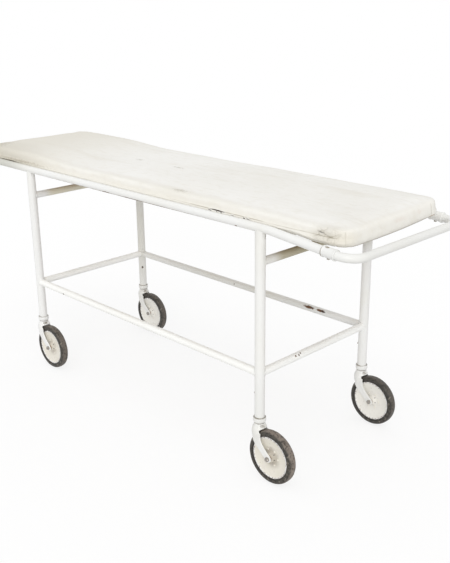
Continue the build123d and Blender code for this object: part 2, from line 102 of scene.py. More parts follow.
PAD_LOW, PAD_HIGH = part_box("pad_cover")
BOARD_LOW, BOARD_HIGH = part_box("deck_board")
RAIL_LOW, RAIL_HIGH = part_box("side_rail_near")
COLLAR_LOW, COLLAR_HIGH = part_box("caster_collars")
PAD_HALF = half_size("pad_cover")
TUBE_RADIUS = half_size("lower_side_rail_near").z
LEG_RADIUS = half_size("leg_head_near").y
TYRE_RADIUS = half_size("tyre_head_near").z
DISC_RADIUS = half_size("wheel_disc_head_near").z
RAIL_UNDERSIDE = RAIL_HIGH.z - 2 * TUBE_RADIUS
WHEELS = {corner: middle("tyre_" + corner) for corner in CORNERS}
LEGS = {
    joint["name"].removeprefix("swivel_"): Vector(joint["pos_m"])
    for joint in frame["joints"]
    if joint["name"].startswith("swivel_")
}

# Middles of the tubes that carry marks, and the foot end of the near rail
NEAR_RAIL = Vector((0.0, LEGS["head_near"].y, RAIL_HIGH.z - TUBE_RADIUS))
NEAR_RAIL_FOOT = Vector((RAIL_HIGH.x, NEAR_RAIL.y, RAIL_LOW.z + TUBE_RADIUS))
LOWER_NEAR_RAIL = middle("lower_side_rail_near")
LOWER_FAR_RAIL = middle("lower_side_rail_far")
LOWER_FOOT_RAIL = middle("lower_cross_rail_foot")


# Settings that a user would change

class PadSettings(PropertyGroup):
    """Shape and colours of the padded top"""

    start_drop: FloatProperty(
        name="Start Drop", description="How much lower the pad is before its cover swells",
        default=0.0005, unit="LENGTH")
    top_round: FloatProperty(
        name="Top Round", description="Rounding of the pad's upper rim", default=0.010, unit="LENGTH")
    cell: FloatProperty(
        name="Cell", description="Size of the cover's mesh cells before its sides are divided",
        default=0.008, unit="LENGTH")
    cloth: FloatProperty(
        name="Cloth", description="Thickness of the cover over the board's edge",
        default=0.0012, unit="LENGTH")
    rail_gap: FloatProperty(
        name="Rail Gap", description="How far the cover clears the rails below it",
        default=0.0002, unit="LENGTH")
    lip: FloatProperty(
        name="Lip", description="Width of cover turned in under the board", default=0.030, unit="LENGTH")
    pressure: FloatProperty(
        name="Pressure", description="Push of the foam on the cover", default=4.0)
    swell: FloatProperty(
        name="Swell", description="Furthest that the cover swells", default=0.004, unit="LENGTH")
    frames: IntProperty(
        name="Frames", description="Steps that the cover takes to settle", default=20)
    crown: FloatProperty(
        name="Crown", description="Rise of the top's middle over its rim", default=0.002, unit="LENGTH")
    head_lift: FloatProperty(
        name="Head Lift", description="Extra foam height at the head end", default=0.013, unit="LENGTH")
    foot_lift: FloatProperty(
        name="Foot Lift", description="Extra foam height towards the far corner of the foot",
        default=0.003, unit="LENGTH")
    foot_drop: FloatProperty(
        name="Foot Drop", description="How far the near corner of the foot hangs down",
        default=0.005, unit="LENGTH")
    bow: FloatProperty(
        name="Bow", description="How far the foot face stands out in its middle",
        default=0.008, unit="LENGTH")
    corner_hem: FloatProperty(
        name="Corner Hem", description="How far the hem hangs at the near corner of the foot",
        default=0.007, unit="LENGTH")
    hem_sag: FloatProperty(
        name="Hem Sag", description="How far the foot face's hem hangs below the board",
        default=0.005, unit="LENGTH")
    waist: FloatProperty(
        name="Waist", description="How far the long sides pull in between the corners",
        default=0.002, unit="LENGTH")
    overhang: FloatProperty(
        name="Overhang", description="How far the long sides bulge out over the rails",
        default=0.006, unit="LENGTH")
    crease: FloatProperty(
        name="Crease", description="Depth of the line where the cover goes over the board",
        default=0.0013, unit="LENGTH")
    crease_rise: FloatProperty(
        name="Crease Rise", description="Height of that line over the board", default=0.0022, unit="LENGTH")
    crease_width: FloatProperty(
        name="Crease Width", description="Half of that line's width", default=0.0024, unit="LENGTH")
    pleat: FloatProperty(
        name="Pleat", description="Depth of the pleats at the corners", default=0.0020, unit="LENGTH")
    pleat_width: FloatProperty(
        name="Pleat Width", description="Half of a pleat's width", default=0.0024, unit="LENGTH")
    waves: FloatProperty(
        name="Waves", description="Height of the cover's broad waves", default=0.0011, unit="LENGTH")
    ripple: FloatProperty(
        name="Ripple", description="Height of the cover's small waves", default=0.0005, unit="LENGTH")
    pucker: FloatProperty(
        name="Pucker", description="Height of the upright puckers of the sides",
        default=0.0008, unit="LENGTH")
    slit_depth: FloatProperty(
        name="Slit Depth", description="Depth of the slits in the near side", default=0.0016, unit="LENGTH")
    slit_lip: FloatProperty(
        name="Slit Lip", description="How far a slit's upper lip stands out", default=0.0009, unit="LENGTH")
    crumple: FloatProperty(
        name="Crumple", description="Height of the folds at the damaged corner",
        default=0.0032, unit="LENGTH")
    cover: FloatVectorProperty(
        name="Cover", description="Clean leathercloth", default=screen_colour(246, 245, 241),
        subtype="COLOR", size=3, min=0, max=1)
    # Yellowed leathercloth, also laid on as painted shade at the head end and along the rim
    aged_and_shaded: FloatVectorProperty(
        name="Aged", description="Yellowed leathercloth along the edges",
        default=screen_colour(224, 219, 206), subtype="COLOR", size=3, min=0, max=1)
    # Dirt, also laid on as painted shade in creases, folds and gaps
    grime_and_shade: FloatVectorProperty(
        name="Grime", description="Dirt in the folds", default=screen_colour(150, 141, 120),
        subtype="COLOR", size=3, min=0, max=1)
    stain: FloatVectorProperty(
        name="Stain", description="Stain on the foot face", default=screen_colour(231, 218, 208),
        subtype="COLOR", size=3, min=0, max=1)
    torn: FloatVectorProperty(
        name="Torn", description="Backing that shows in the slits", default=screen_colour(66, 54, 40),
        subtype="COLOR", size=3, min=0, max=1)


class PaintSettings(PropertyGroup):
    """Colours of the paint, metals, board and tyres"""

    enamel: FloatVectorProperty(
        name="Enamel", description="White paint of the frame", default=screen_colour(238, 238, 236),
        subtype="COLOR", size=3, min=0, max=1)
    yellowed: FloatVectorProperty(
        name="Yellowed", description="Paint where it has aged", default=screen_colour(230, 226, 212),
        subtype="COLOR", size=3, min=0, max=1)
    # Painted light: whiter paint that lightens the lower rails in the top's shadow and the shaded wheel discs
    painted_light: FloatVectorProperty(
        name="Fresh", description="Cleaner paint of the lower rails", default=screen_colour(250, 250, 247),
        subtype="COLOR", size=3, min=0, max=1)
    # Painted shade of the pad over the head's cross rail, laid on its dingy paint
    shade_and_grime_head: FloatVectorProperty(
        name="Sheltered", description="Dingy paint of the head's cross rail under the top",
        default=screen_colour(218, 213, 194), subtype="COLOR", size=3, min=0, max=1)
    # Painted shade of the pad over the foot's cross rail, laid on its dingy paint
    shade_and_grime_foot: FloatVectorProperty(
        name="Smoked", description="Dingy paint of the foot's cross rail under the top",
        default=screen_colour(174, 166, 139), subtype="COLOR", size=3, min=0, max=1)
    # Dirt, also laid on as painted shade under the rails, in the casters' gaps and round the hubs
    dirt_and_shade: FloatVectorProperty(
        name="Dirt", description="Dirt under the rails and in the gaps of the casters",
        default=screen_colour(128, 115, 94), subtype="COLOR", size=3, min=0, max=1)
    # Painted shade: a greenish darkening laid on the frame's paint in places
    painted_shade: FloatVectorProperty(
        name="Dull", description="Film on paint away from the light", default=screen_colour(132, 129, 90),
        subtype="COLOR", size=3, min=0, max=1)
    rust: FloatVectorProperty(
        name="Rust", description="Rusty steel in the chips", default=screen_colour(112, 78, 52),
        subtype="COLOR", size=3, min=0, max=1)
    scale: FloatVectorProperty(
        name="Scale", description="Dark scale in the rust", default=screen_colour(56, 48, 44),
        subtype="COLOR", size=3, min=0, max=1)
    disc: FloatVectorProperty(
        name="Disc", description="Cream paint of the wheel discs", default=screen_colour(232, 227, 216),
        subtype="COLOR", size=3, min=0, max=1)
    steel: FloatVectorProperty(
        name="Steel", description="Dull plated steel", default=screen_colour(176, 171, 163),
        subtype="COLOR", size=3, min=0, max=1)
    nut: FloatVectorProperty(
        name="Nut", description="Dark steel of the axles' nuts and bolts",
        default=screen_colour(160, 156, 150), subtype="COLOR", size=3, min=0, max=1)
    bronze: FloatVectorProperty(
        name="Bronze", description="Bearing bronze", default=screen_colour(176, 134, 82),
        subtype="COLOR", size=3, min=0, max=1)
    plywood: FloatVectorProperty(
        name="Plywood", description="Board under the pad", default=screen_colour(176, 143, 100),
        subtype="COLOR", size=3, min=0, max=1)
    wood_grain: FloatVectorProperty(
        name="Wood Grain", description="Darker grain of the board", default=screen_colour(120, 88, 54),
        subtype="COLOR", size=3, min=0, max=1)
    tyre: FloatVectorProperty(
        name="Tyre", description="Rubber of the tyre's sides", default=screen_colour(56, 54, 50),
        subtype="COLOR", size=3, min=0, max=1)
    tread: FloatVectorProperty(
        name="Tread", description="Dusty rubber of the tread", default=screen_colour(140, 129, 119),
        subtype="COLOR", size=3, min=0, max=1)
    tyre_dust: FloatVectorProperty(
        name="Tyre Dust", description="Dust on the tyre's sides", default=screen_colour(116, 110, 100),
        subtype="COLOR", size=3, min=0, max=1)
    tyre_root: FloatVectorProperty(
        name="Tyre Root", description="Dark rubber next to the disc", default=screen_colour(34, 31, 28),
        subtype="COLOR", size=3, min=0, max=1)
    tyre_pits: FloatVectorProperty(
        name="Tyre Pits", description="Rubber in the tyre's pits", default=screen_colour(38, 35, 31),
        subtype="COLOR", size=3, min=0, max=1)
    tyre_scuffs: FloatVectorProperty(
        name="Tyre Scuffs", description="Scuffed rubber", default=screen_colour(150, 141, 129),
        subtype="COLOR", size=3, min=0, max=1)


class CrimpSettings(PropertyGroup):
    """Folded walls inside the crimped leg tops"""

    depth: FloatProperty(
        name="Depth", description="How far the fold goes down into the leg", default=0.022, unit="LENGTH")
    along: FloatProperty(
        name="Along", description="Half of the fold's width along the rail", default=0.0155, unit="LENGTH")
    across: FloatProperty(
        name="Across", description="Half of the fold's width across the rail",
        default=0.0102, unit="LENGTH")
    rounding: FloatProperty(
        name="Rounding", description="Rounding of the fold's rims", default=0.002, unit="LENGTH")


class WeldSettings(PropertyGroup):
    """Beads of weld between tubes"""

    bead: FloatProperty(
        name="Bead", description="Radius of the bead at a stretcher's end", default=0.0026, unit="LENGTH")
    ripples: IntProperty(name="Ripples", description="Ripples round one bead", default=26)
    unevenness: FloatProperty(
        name="Unevenness", description="Share of the bead's radius that varies", default=0.3,
        subtype="FACTOR", min=0, max=1)


class CasterSettings(PropertyGroup):
    """Forks, wheel discs and tyres of the casters"""

    fork_cell: FloatProperty(
        name="Fork Cell", description="Size of the fork's mesh cells", default=0.0011, unit="LENGTH")
    fork_softening: IntProperty(
        name="Fork Softening", description="Times that the fork's edges are softened", default=9)
    fork_waves: FloatProperty(
        name="Fork Waves", description="Unevenness of the fork's thick paint",
        default=0.00025, unit="LENGTH")
    rim_half: FloatProperty(
        name="Rim Half", description="Half of the disc's width at its rim", default=0.0125, unit="LENGTH")
    rim_lip: FloatProperty(
        name="Rim Lip", description="Width of the disc's rolled lip", default=0.0038, unit="LENGTH")
    lip_fall: FloatProperty(
        name="Lip Fall", description="How far the disc falls inside its lip", default=0.0015, unit="LENGTH")
    lip_slope: FloatProperty(
        name="Lip Slope", description="Width of that fall", default=0.001, unit="LENGTH")
    disc_edge: FloatProperty(
        name="Disc Edge", description="Rounding of the disc's edges", default=0.0008, unit="LENGTH")
    web_half: FloatProperty(
        name="Web Half", description="Half of the disc's thickness round the hub",
        default=0.005, unit="LENGTH")
    web_radius: FloatProperty(
        name="Web Radius", description="Radius of the flat round the hub", default=0.034, unit="LENGTH")
    hub_radius: FloatProperty(
        name="Hub Radius", description="Radius of the hub's end", default=0.0115, unit="LENGTH")
    hub_flare: FloatProperty(
        name="Hub Flare", description="How much wider the hub is at its root", default=0.009, unit="LENGTH")
    bore: FloatProperty(
        name="Bore", description="Radius of the hub's bore", default=0.0071, unit="LENGTH")
    tyre_depth: FloatProperty(
        name="Tyre Depth", description="Height of the tyre over the disc", default=0.019, unit="LENGTH")
    tyre_squareness: FloatProperty(
        name="Tyre Squareness", description="How square the tyre's section is", default=2.7)
    scuff: FloatProperty(
        name="Scuff", description="Depth of the tyre's worn places", default=0.0006, unit="LENGTH")


class StageSettings(PropertyGroup):
    """Camera, floor and light"""

    camera_place: FloatVectorProperty(
        name="Camera Place", description="Where the camera stands", default=(2.1586, -1.9049, 1.4402),
        subtype="TRANSLATION", size=3)
    azimuth: FloatProperty(
        name="Azimuth", description="Side of the camera, from the near side round to the foot",
        default=radians(45.543), subtype="ANGLE")
    elevation: FloatProperty(
        name="Elevation", description="How far down the camera looks", default=radians(19.465),
        subtype="ANGLE")
    roll: FloatProperty(
        name="Roll", description="Turn of the camera about its line of sight", default=radians(-0.616),
        subtype="ANGLE")
    lens: FloatProperty(name="Lens", description="Focal length in millimetres", default=52.5)
    floor_size: FloatProperty(
        name="Floor Size", description="Side of the floor", default=240.0, unit="LENGTH")
    floor_gap: FloatProperty(
        name="Floor Gap", description="How far the floor lies below the tyres",
        default=0.0005, unit="LENGTH")
    floor_shade: FloatProperty(
        name="Floor Shade", description="Lightness of the floor to the light", default=0.7,
        subtype="FACTOR", min=0, max=1)
    floor_seen: FloatProperty(
        name="Floor Seen", description="Share of the floor's white that takes the object's shadow",
        default=0.22, subtype="FACTOR", min=0, max=1)
    sky: FloatProperty(name="Sky", description="Strength of the light from all round", default=0.78)
    key: FloatProperty(name="Key", description="Strength of the light from above", default=0.35)
    key_azimuth: FloatProperty(
        name="Key Azimuth", description="Side that the light from above comes from",
        default=radians(45), subtype="ANGLE")
    key_elevation: FloatProperty(
        name="Key Elevation", description="Height of the light from above", default=radians(62),
        subtype="ANGLE")
    fill: FloatProperty(name="Fill", description="Strength of the light from the front", default=1.08)
    fill_azimuth: FloatProperty(
        name="Fill Azimuth", description="Side that the light from the front comes from",
        default=radians(40), subtype="ANGLE")
    fill_elevation: FloatProperty(
        name="Fill Elevation", description="Height of the light from the front", default=radians(14),
        subtype="ANGLE")
    spread: FloatProperty(
        name="Spread", description="How wide each light looks from the object", default=radians(36),
        subtype="ANGLE")


# Help with meshes

def deselect_all():
    """Leave no object selected."""
    bpy.ops.object.select_all(action="DESELECT")


def apply_place():
    """Put the active piece's place, turn and scale into its mesh."""
    bpy.ops.object.transform_apply(location=True, rotation=True, scale=True)


def pick(kind, test):
    """Select the edges or faces of the mesh in edit mode that pass a test, and nothing else."""
    bpy.ops.mesh.select_mode(type=kind)
    bpy.ops.mesh.select_all(action="DESELECT")
    mesh = bmesh.from_edit_mesh(bpy.context.edit_object.data)
    for item in mesh.edges if kind == "EDGE" else mesh.faces:
        item.select_set(test(item))
    mesh.select_flush_mode()
    bmesh.update_edit_mesh(bpy.context.edit_object.data)


def points_of(piece, key="co"):
    """Places, or normals, of a piece's points as rows of three numbers."""
    rows = np.zeros(len(piece.data.vertices) * 3, np.float32)
    piece.data.vertices.foreach_get(key, rows)
    return rows.reshape(-1, 3).astype(float)


def move_points(piece, rows):
    """Put a piece's points at new places."""
    piece.data.vertices.foreach_set("co", rows.astype(np.float32).ravel())
    piece.data.update()


def push(rows, ways, distances):
    """Move points, each its own way and by its own distance."""
    rows += ways * distances[:, None]


def bell(distance, width):
    """Smooth hump that is one at nought and dies away over a width."""
    return np.exp(-(distance / width) ** 2)


def rise(values, start, end):
    """Smooth step from nought at one value to one at another."""
    share = np.clip((values - start) / (end - start), 0, 1)
    return share * share * (3 - 2 * share)


def wobble(rows, scale, seed):
    """Smooth unevenness from -1 to 1 at each point."""
    shift = Vector((seed, seed * 0.7, seed * 1.3))
    return np.array([noise.noise(Vector(row) * scale + shift) for row in rows])


def join(pieces, name):
    """Make one piece of several."""
    deselect_all()
    for piece in pieces:
        piece.select_set(True)
    bpy.context.view_layer.objects.active = pieces[0]
    bpy.ops.object.join()
    bpy.context.object.name = name
    return bpy.context.object


def dress(piece, finish):
    """Give a piece one finish."""
    piece.data.materials.clear()
    piece.data.materials.append(finish)


# Help with finishes

class Finish:
    """A material on Object coordinates, with short ways to add nodes to it."""

    def __init__(self, name, centre=(0.0, 0.0, 0.0)):
        self.material = bpy.data.materials.new(name)
        self.material.use_nodes = True
        self.tree = self.material.node_tree
        self.shader = self.tree.nodes["Principled BSDF"]
        self.object = self.add("ShaderNodeTexCoord").outputs["Object"]
        self.place = self.add(
            "ShaderNodeMapping", Vector=self.object, Location=[-part for part in centre]).outputs["Vector"]

    def feed(self, socket, value):
        """Link a socket to another, or set its number or colour."""
        if isinstance(value, bpy.types.NodeSocket):
            self.tree.links.new(value, socket)
        elif socket.type == "RGBA":
            socket.default_value = (*value[:3], 1.0)
        else:
            socket.default_value = value

    def add(self, kind, options=None, **sockets):
        """Add a node with its options and its sockets by name."""
        node = self.tree.nodes.new(kind)
        for key, value in (options or {}).items():
            setattr(node, key, value)
        for key, value in sockets.items():
            self.feed(node.inputs[key], value)
        return node

    def math(self, operation, first, second=0.5):
        """One step of arithmetic."""
        node = self.add("ShaderNodeMath", {"operation": operation})
        self.feed(node.inputs[0], first)
        self.feed(node.inputs[1], second)
        return node.outputs["Value"]

    def grain(self, scale, detail=3.0, stretch=(1.0, 1.0, 1.0), roughness=0.5):
        """Cloudy unevenness, longer one way where it is stretched."""
        node = self.add("ShaderNodeVectorMath", {"operation": "DIVIDE"})
        self.feed(node.inputs[0], self.place)
        self.feed(node.inputs[1], stretch)
        texture = self.add("ShaderNodeTexNoise", Scale=scale, Detail=detail, Roughness=roughness,
                           Vector=node.outputs["Vector"])
        return texture.outputs["Fac"]

    def cells(self, scale):
        """Distance to the nearest of many scattered points."""
        return self.add("ShaderNodeTexVoronoi", Vector=self.place, Scale=scale).outputs["Distance"]

    def ramp(self, value, low, high, top=1.0):
        """Smooth rise from nought at low to top at high."""
        node = self.add("ShaderNodeMapRange", {"interpolation_type": "SMOOTHSTEP"}, Value=value)
        for key, number in (("From Min", low), ("From Max", high), ("To Min", 0.0), ("To Max", top)):
            node.inputs[key].default_value = number
        return node.outputs["Result"]

    def mix(self, share, first, second):
        """Blend of two colours."""
        node = self.add("ShaderNodeMix", {"data_type": "RGBA"})
        self.feed(node.inputs[0], share)
        self.feed(node.inputs[6], first)
        self.feed(node.inputs[7], second)
        return node.outputs[2]

    def axis(self, letter, size=False):
        """One coordinate of the place, or its size without its sign."""
        value = self.add("ShaderNodeSeparateXYZ", Vector=self.place).outputs[letter]
        return self.math("ABSOLUTE", value) if size else value

    def blob(self, centre, reach, ragged=0.0, soft=0.5, tilt=0.0, scale=120.0):
        """Mask that is one inside an egg-shaped place and fades out at its edge."""
        mapping = self.add("ShaderNodeMapping", {"vector_type": "TEXTURE"}, Vector=self.object,
                           Location=centre, Rotation=(0.0, tilt, 0.0), Scale=reach)
        length = self.add("ShaderNodeVectorMath", {"operation": "LENGTH"}, Vector=mapping.outputs["Vector"])
        distance = length.outputs["Value"]
        if ragged:
            edge = self.math("MULTIPLY_ADD", self.grain(scale, 4.0), ragged)
            edge.node.inputs[2].default_value = -ragged / 2
            distance = self.math("ADD", distance, edge)
        return self.ramp(distance, 1.0, soft)

    def either(self, masks):
        """Mask that is as strong as the strongest of several."""
        strongest = masks[0]
        for mask in masks[1:]:
            strongest = self.math("MAXIMUM", strongest, mask)
        return strongest

    def fade(self, mask, share):
        """Mask weakened to a share, or by another mask."""
        return self.math("MULTIPLY", mask, share)

    def marks(self, places, ragged=0.0):
        """Mask of several egg-shaped places, each as strong as its share."""
        spots = [self.fade(self.blob(place, reach, ragged), share) for place, reach, share in places]
        return self.either(spots)

    def bump(self, height, depth):
        """Relief on top of the relief that is there already."""
        node = self.add("ShaderNodeBump", Height=height, Distance=depth, Strength=1.0)
        normal = self.shader.inputs["Normal"]
        if normal.is_linked:
            self.tree.links.new(normal.links[0].from_socket, node.inputs["Normal"])
        self.tree.links.new(node.outputs["Normal"], normal)

    def complete(self, colour, roughness, **sockets):
        """Set the shader's colour, roughness and other sockets, and give the material."""
        self.feed(self.shader.inputs["Base Color"], colour)
        self.feed(self.shader.inputs["Roughness"], roughness)
        for key, value in sockets.items():
            self.shader.inputs[key.replace("_", " ")].default_value = value
        return self.material


# Marks of wear, and places of painted light and shade

# Slits in the pad's near side: place along, height over the board's top, half length, tilt and darkness
SLITS = (
    (0.437, 0.0016, 0.040, radians(1), 1.0),
    (0.406, -0.0012, 0.011, radians(9), 0.7),
    (0.436, -0.0017, 0.005, radians(20), 0.6),
    (0.455, -0.0017, 0.005, radians(20), 0.7),
    (0.502, -0.0017, 0.012, radians(3), 0.5),
    (0.550, -0.0012, 0.005, radians(5), 1.0),
    (0.567, -0.0017, 0.012, radians(7), 0.6),
    (0.830, 0.0108, 0.014, radians(5), 0.6),
)

# Smudges on the pad's top: place along and across, how far they reach each way, and how ragged they are
SMUDGES = (
    (-0.211, -0.014, (0.030, 0.014, 0.03), 2.0),
    (0.002, -0.015, (0.040, 0.012, 0.03), 2.0),
    (0.246, -0.222, (0.045, 0.012, 0.03), 2.4),
    (-0.860, -0.200, (0.060, 0.050, 0.03), 2.4),
)

# Stains on the pad's foot face: place across, height over the board's top, and how far they reach each way
STAINS = (
    (0.010, 0.0128, (0.03, 0.045, 0.011)),
    (0.110, 0.0148, (0.03, 0.030, 0.010)),
)

# Where the pad's lift at the head and its hanging hem at the foot start and end, in halves of its length
LIFT_START = -0.36
LIFT_END = -0.70
FOOT_START = 0.80
FOOT_END = 0.90

# The crease's share of the lift, and half of the width of dirt and painted shade in pleats and hem
CREASE_LIFT = 0.8
SOIL_AND_SHADE_WIDTH = 0.0016

# Worn places of the frame: centre, how far the wear reaches each way, and how ragged its edge is
WORN_PLACES = (
    (beside(NEAR_RAIL, -0.084, -0.0065, -0.0108), (0.030, 0.008, 0.0075), 0.6),
    (beside(NEAR_RAIL, 0.050, -0.0060, -0.0113), (0.085, 0.008, 0.0058), 0.6),
    (beside(NEAR_RAIL, 0.190, -0.0057, -0.0113), (0.070, 0.007, 0.0040), 0.8),
    (beside(NEAR_RAIL, 0.541, -0.0090, -0.0085), (0.006, 0.006, 0.0030), 1.3),
    (beside(LOWER_FAR_RAIL, 0.366, -0.0110, 0.0070), (0.030, 0.012, 0.0060), 1.3),
    (beside(LOWER_FAR_RAIL, 0.421, -0.0110, 0.0070), (0.028, 0.012, 0.0050), 1.3),
    (beside(LOWER_FOOT_RAIL, 0.010, -0.106, 0.0090), (0.004, 0.004, 0.0050), 1.3),
    (beside(LOWER_FOOT_RAIL, 0.010, -0.092, 0.0075), (0.004, 0.004, 0.0050), 1.3),
    (beside(LOWER_FOOT_RAIL, 0.008, -0.082, 0.0110), (0.004, 0.003, 0.0050), 1.3),
    (beside(LOWER_NEAR_RAIL, -0.422, -0.0110, -0.0050), (0.006, 0.005, 0.0040), 1.3),
    (beside(LOWER_NEAR_RAIL, -0.037, -0.0080, -0.0020), (0.004, 0.004, 0.0030), 1.3),
    (beside(LEGS["head_far"], 0.013, -0.0110, 0.1050), (0.005, 0.006, 0.0070), 1.3),
    (beside(LOWER_FAR_RAIL, -0.014, -0.0120, 0.0022), (0.004, 0.005, 0.0040), 1.3),
)


def collar_shade_and_dirt(post):
    """Painted shade, with some dirt, in the gaps over and under a leg's collar and in the pocket under the head of
    its fork, told as the places of dirt and shade are.
    """
    return (
        ((post.x, post.y, COLLAR_HIGH.z), (0.0280, 0.0280, 0.0030), 0.8),
        ((post.x, post.y, COLLAR_LOW.z - 0.0006), (0.0300, 0.0300, 0.0030), 0.75),
        (beside(post, 0.0160, 0.0, -0.0085), (0.0075, 0.0150, 0.0050), 0.75),
    )


# Places of dirt and painted shade on the frame: centre, how far each reaches each way, and how much of it shows
DIRT_AND_SHADE_PLACES = (
    # Painted shade along the near rail's underside, with some dirt
    (beside(NEAR_RAIL, 0.020, -0.0060, -0.0130), (0.66, 0.0120, 0.0070), 1.0),
    # Painted shade in the gap at the near rail's foot end and under the pad's hem above it
    (beside(NEAR_RAIL_FOOT, -0.0165, 0.0, 0.0), (0.0040, 0.0300, 0.0300), 1.0),
    (beside(NEAR_RAIL_FOOT, -0.0020, -0.0030, TUBE_RADIUS + 0.003), (0.009, 0.006, 0.004), 1.0),
    (beside(NEAR_RAIL, LEGS["head_near"].x + 0.018, -0.0130, -0.0300), (0.0035, 0.0080, 0.0090), 0.6),
    (beside(NEAR_RAIL, LEGS["foot_near"].x + 0.023, -0.0130, -0.0360), (0.0035, 0.0080, 0.0080), 0.6),
    *(row for post in LEGS.values() for row in collar_shade_and_dirt(post)),
)

# Places of painted shade on the frame, told in the same way
PAINTED_SHADE_PLACES = (
    (beside(NEAR_RAIL, -0.860, 0.0, 0.001), (0.34, 0.03, 0.03), 0.40),
    (beside(LEGS["head_far"], 0.0, 0.0, 0.432), (0.06, 0.06, 0.50), 0.20),
    (beside(LEGS["foot_far"], 0.0, 0.0, 0.582), (0.06, 0.06, 0.16), 0.40),
    (beside(LEGS["foot_near"], 0.0, 0.0, 0.032), (0.05, 0.05, 0.16), 0.07),
    (beside(LOWER_FAR_RAIL, -0.029, 0.0, 0.002), (0.66, 0.04, 0.04), 0.15),
    ((RAIL_HIGH.x + 0.05, 0.0, RAIL_LOW.z), (0.16, 0.40, 0.08), 0.08),
)

# Where the painted light on the near end of the cross rails under the top gives way to their painted shade, and
# where that shade is full
SHADE_START = NEAR_RAIL.y + 0.041
SHADE_END = NEAR_RAIL.y + 0.091


# Finishes

def enamel_finish(name, colour, worn=(), dirt_and_shade_marks=(), painted_shade=(), dinge=0.28, painted_lit_end=False):
    """Old brushed white paint, yellowed in clouds, with chips down to rusty steel, dirt and painted shade in
    places, and painted light at a lit end.
    """
    paint = bpy.context.scene.trolley_paint
    finish = Finish(name)
    clouds = finish.ramp(finish.grain(5.0, 4.0), 0.40, 0.75, dinge)
    # Painted light: a rail's near end, lit from the front, is whiter than its painted shade
    if painted_lit_end:
        colour = finish.mix(finish.ramp(finish.axis("Y"), SHADE_START, SHADE_END), paint.enamel, colour)
    tone = finish.mix(clouds, colour, paint.yellowed)
    if dirt_and_shade_marks:
        # Dirt, and painted shade under the rails and in the casters' gaps
        broken = finish.ramp(finish.grain(70.0, 4.0), 0.25, 0.55)
        tone = finish.mix(finish.fade(finish.marks(dirt_and_shade_marks, ragged=0.25), broken), tone, paint.dirt_and_shade)
    # Painted shade in places
    if painted_shade:
        tone = finish.mix(finish.marks(painted_shade), tone, paint.painted_shade)
    wear = finish.math("ADD", finish.grain(150.0, 5.0), finish.fade(finish.grain(9.0, 2.0), 0.6))
    bare = finish.ramp(wear, 1.13, 1.15)
    if worn:
        scrapes = [finish.blob(place, reach, ragged) for place, reach, ragged in worn]
        bare = finish.either([bare, *scrapes])
    tone = finish.mix(finish.ramp(wear, 1.00, 1.16, 0.5), tone, paint.yellowed)
    rust = finish.mix(finish.ramp(finish.grain(60.0, 3.0), 0.35, 0.7), paint.rust, paint.scale)
    tone = finish.mix(bare, tone, rust)
    finish.bump(finish.grain(55.0, 3.0), depth=0.0006)
    finish.bump(finish.grain(420.0, 2.0), depth=0.00012)
    finish.bump(bare, depth=-0.0003)
    roughness = finish.ramp(finish.math("MAXIMUM", bare, clouds), 0.0, 1.0, 0.4)
    return finish.complete(tone, finish.math("ADD", roughness, 0.33), Specular_IOR_Level=0.35)


def steel_finish(name, colour, rusty=0.5):
    """Dull plated steel with brown in its pits."""
    paint = bpy.context.scene.trolley_paint
    finish = Finish(name)
    pits = finish.ramp(finish.grain(240.0, 4.0), 0.52, 0.66, rusty)
    tone = finish.mix(pits, colour, paint.rust)
    finish.bump(finish.grain(600.0, 3.0), depth=0.0001)
    return finish.complete(tone, finish.ramp(finish.grain(160.0, 3.0), 0.1, 1.0, 0.75), Metallic=0.75)


def plywood_finish():
    """Bare plywood with its grain along the top."""
    paint = bpy.context.scene.trolley_paint
    finish = Finish("bare_plywood")
    rings = finish.grain(38.0, 5.0, stretch=(18.0, 1.0, 1.0), roughness=0.65)
    tone = finish.mix(finish.ramp(rings, 0.35, 0.7), paint.plywood, paint.wood_grain)
    finish.bump(rings, depth=0.0004)
    return finish.complete(tone, finish.ramp(rings, 0.0, 1.0, 0.9))


def distance_from_axle(finish):
    """Distance of a point from its wheel's axle."""
    flat = finish.add("ShaderNodeVectorMath", {"operation": "MULTIPLY"})
    finish.feed(flat.inputs[0], finish.place)
    flat.inputs[1].default_value = (1.0, 0.0, 1.0)
    length = finish.add("ShaderNodeVectorMath", {"operation": "LENGTH"}, Vector=flat.outputs["Vector"])
    return length.outputs["Value"]


# Dark dots round the hubs: along, up, and radius
HUB_DOTS = (
    (0.0165, -0.0030, 0.0022),
    (0.0080, -0.0150, 0.0015),
    (0.0130, 0.0135, 0.0020),
    (0.0250, 0.0146, 0.0008),
    (-0.0060, -0.0235, 0.0010),
)


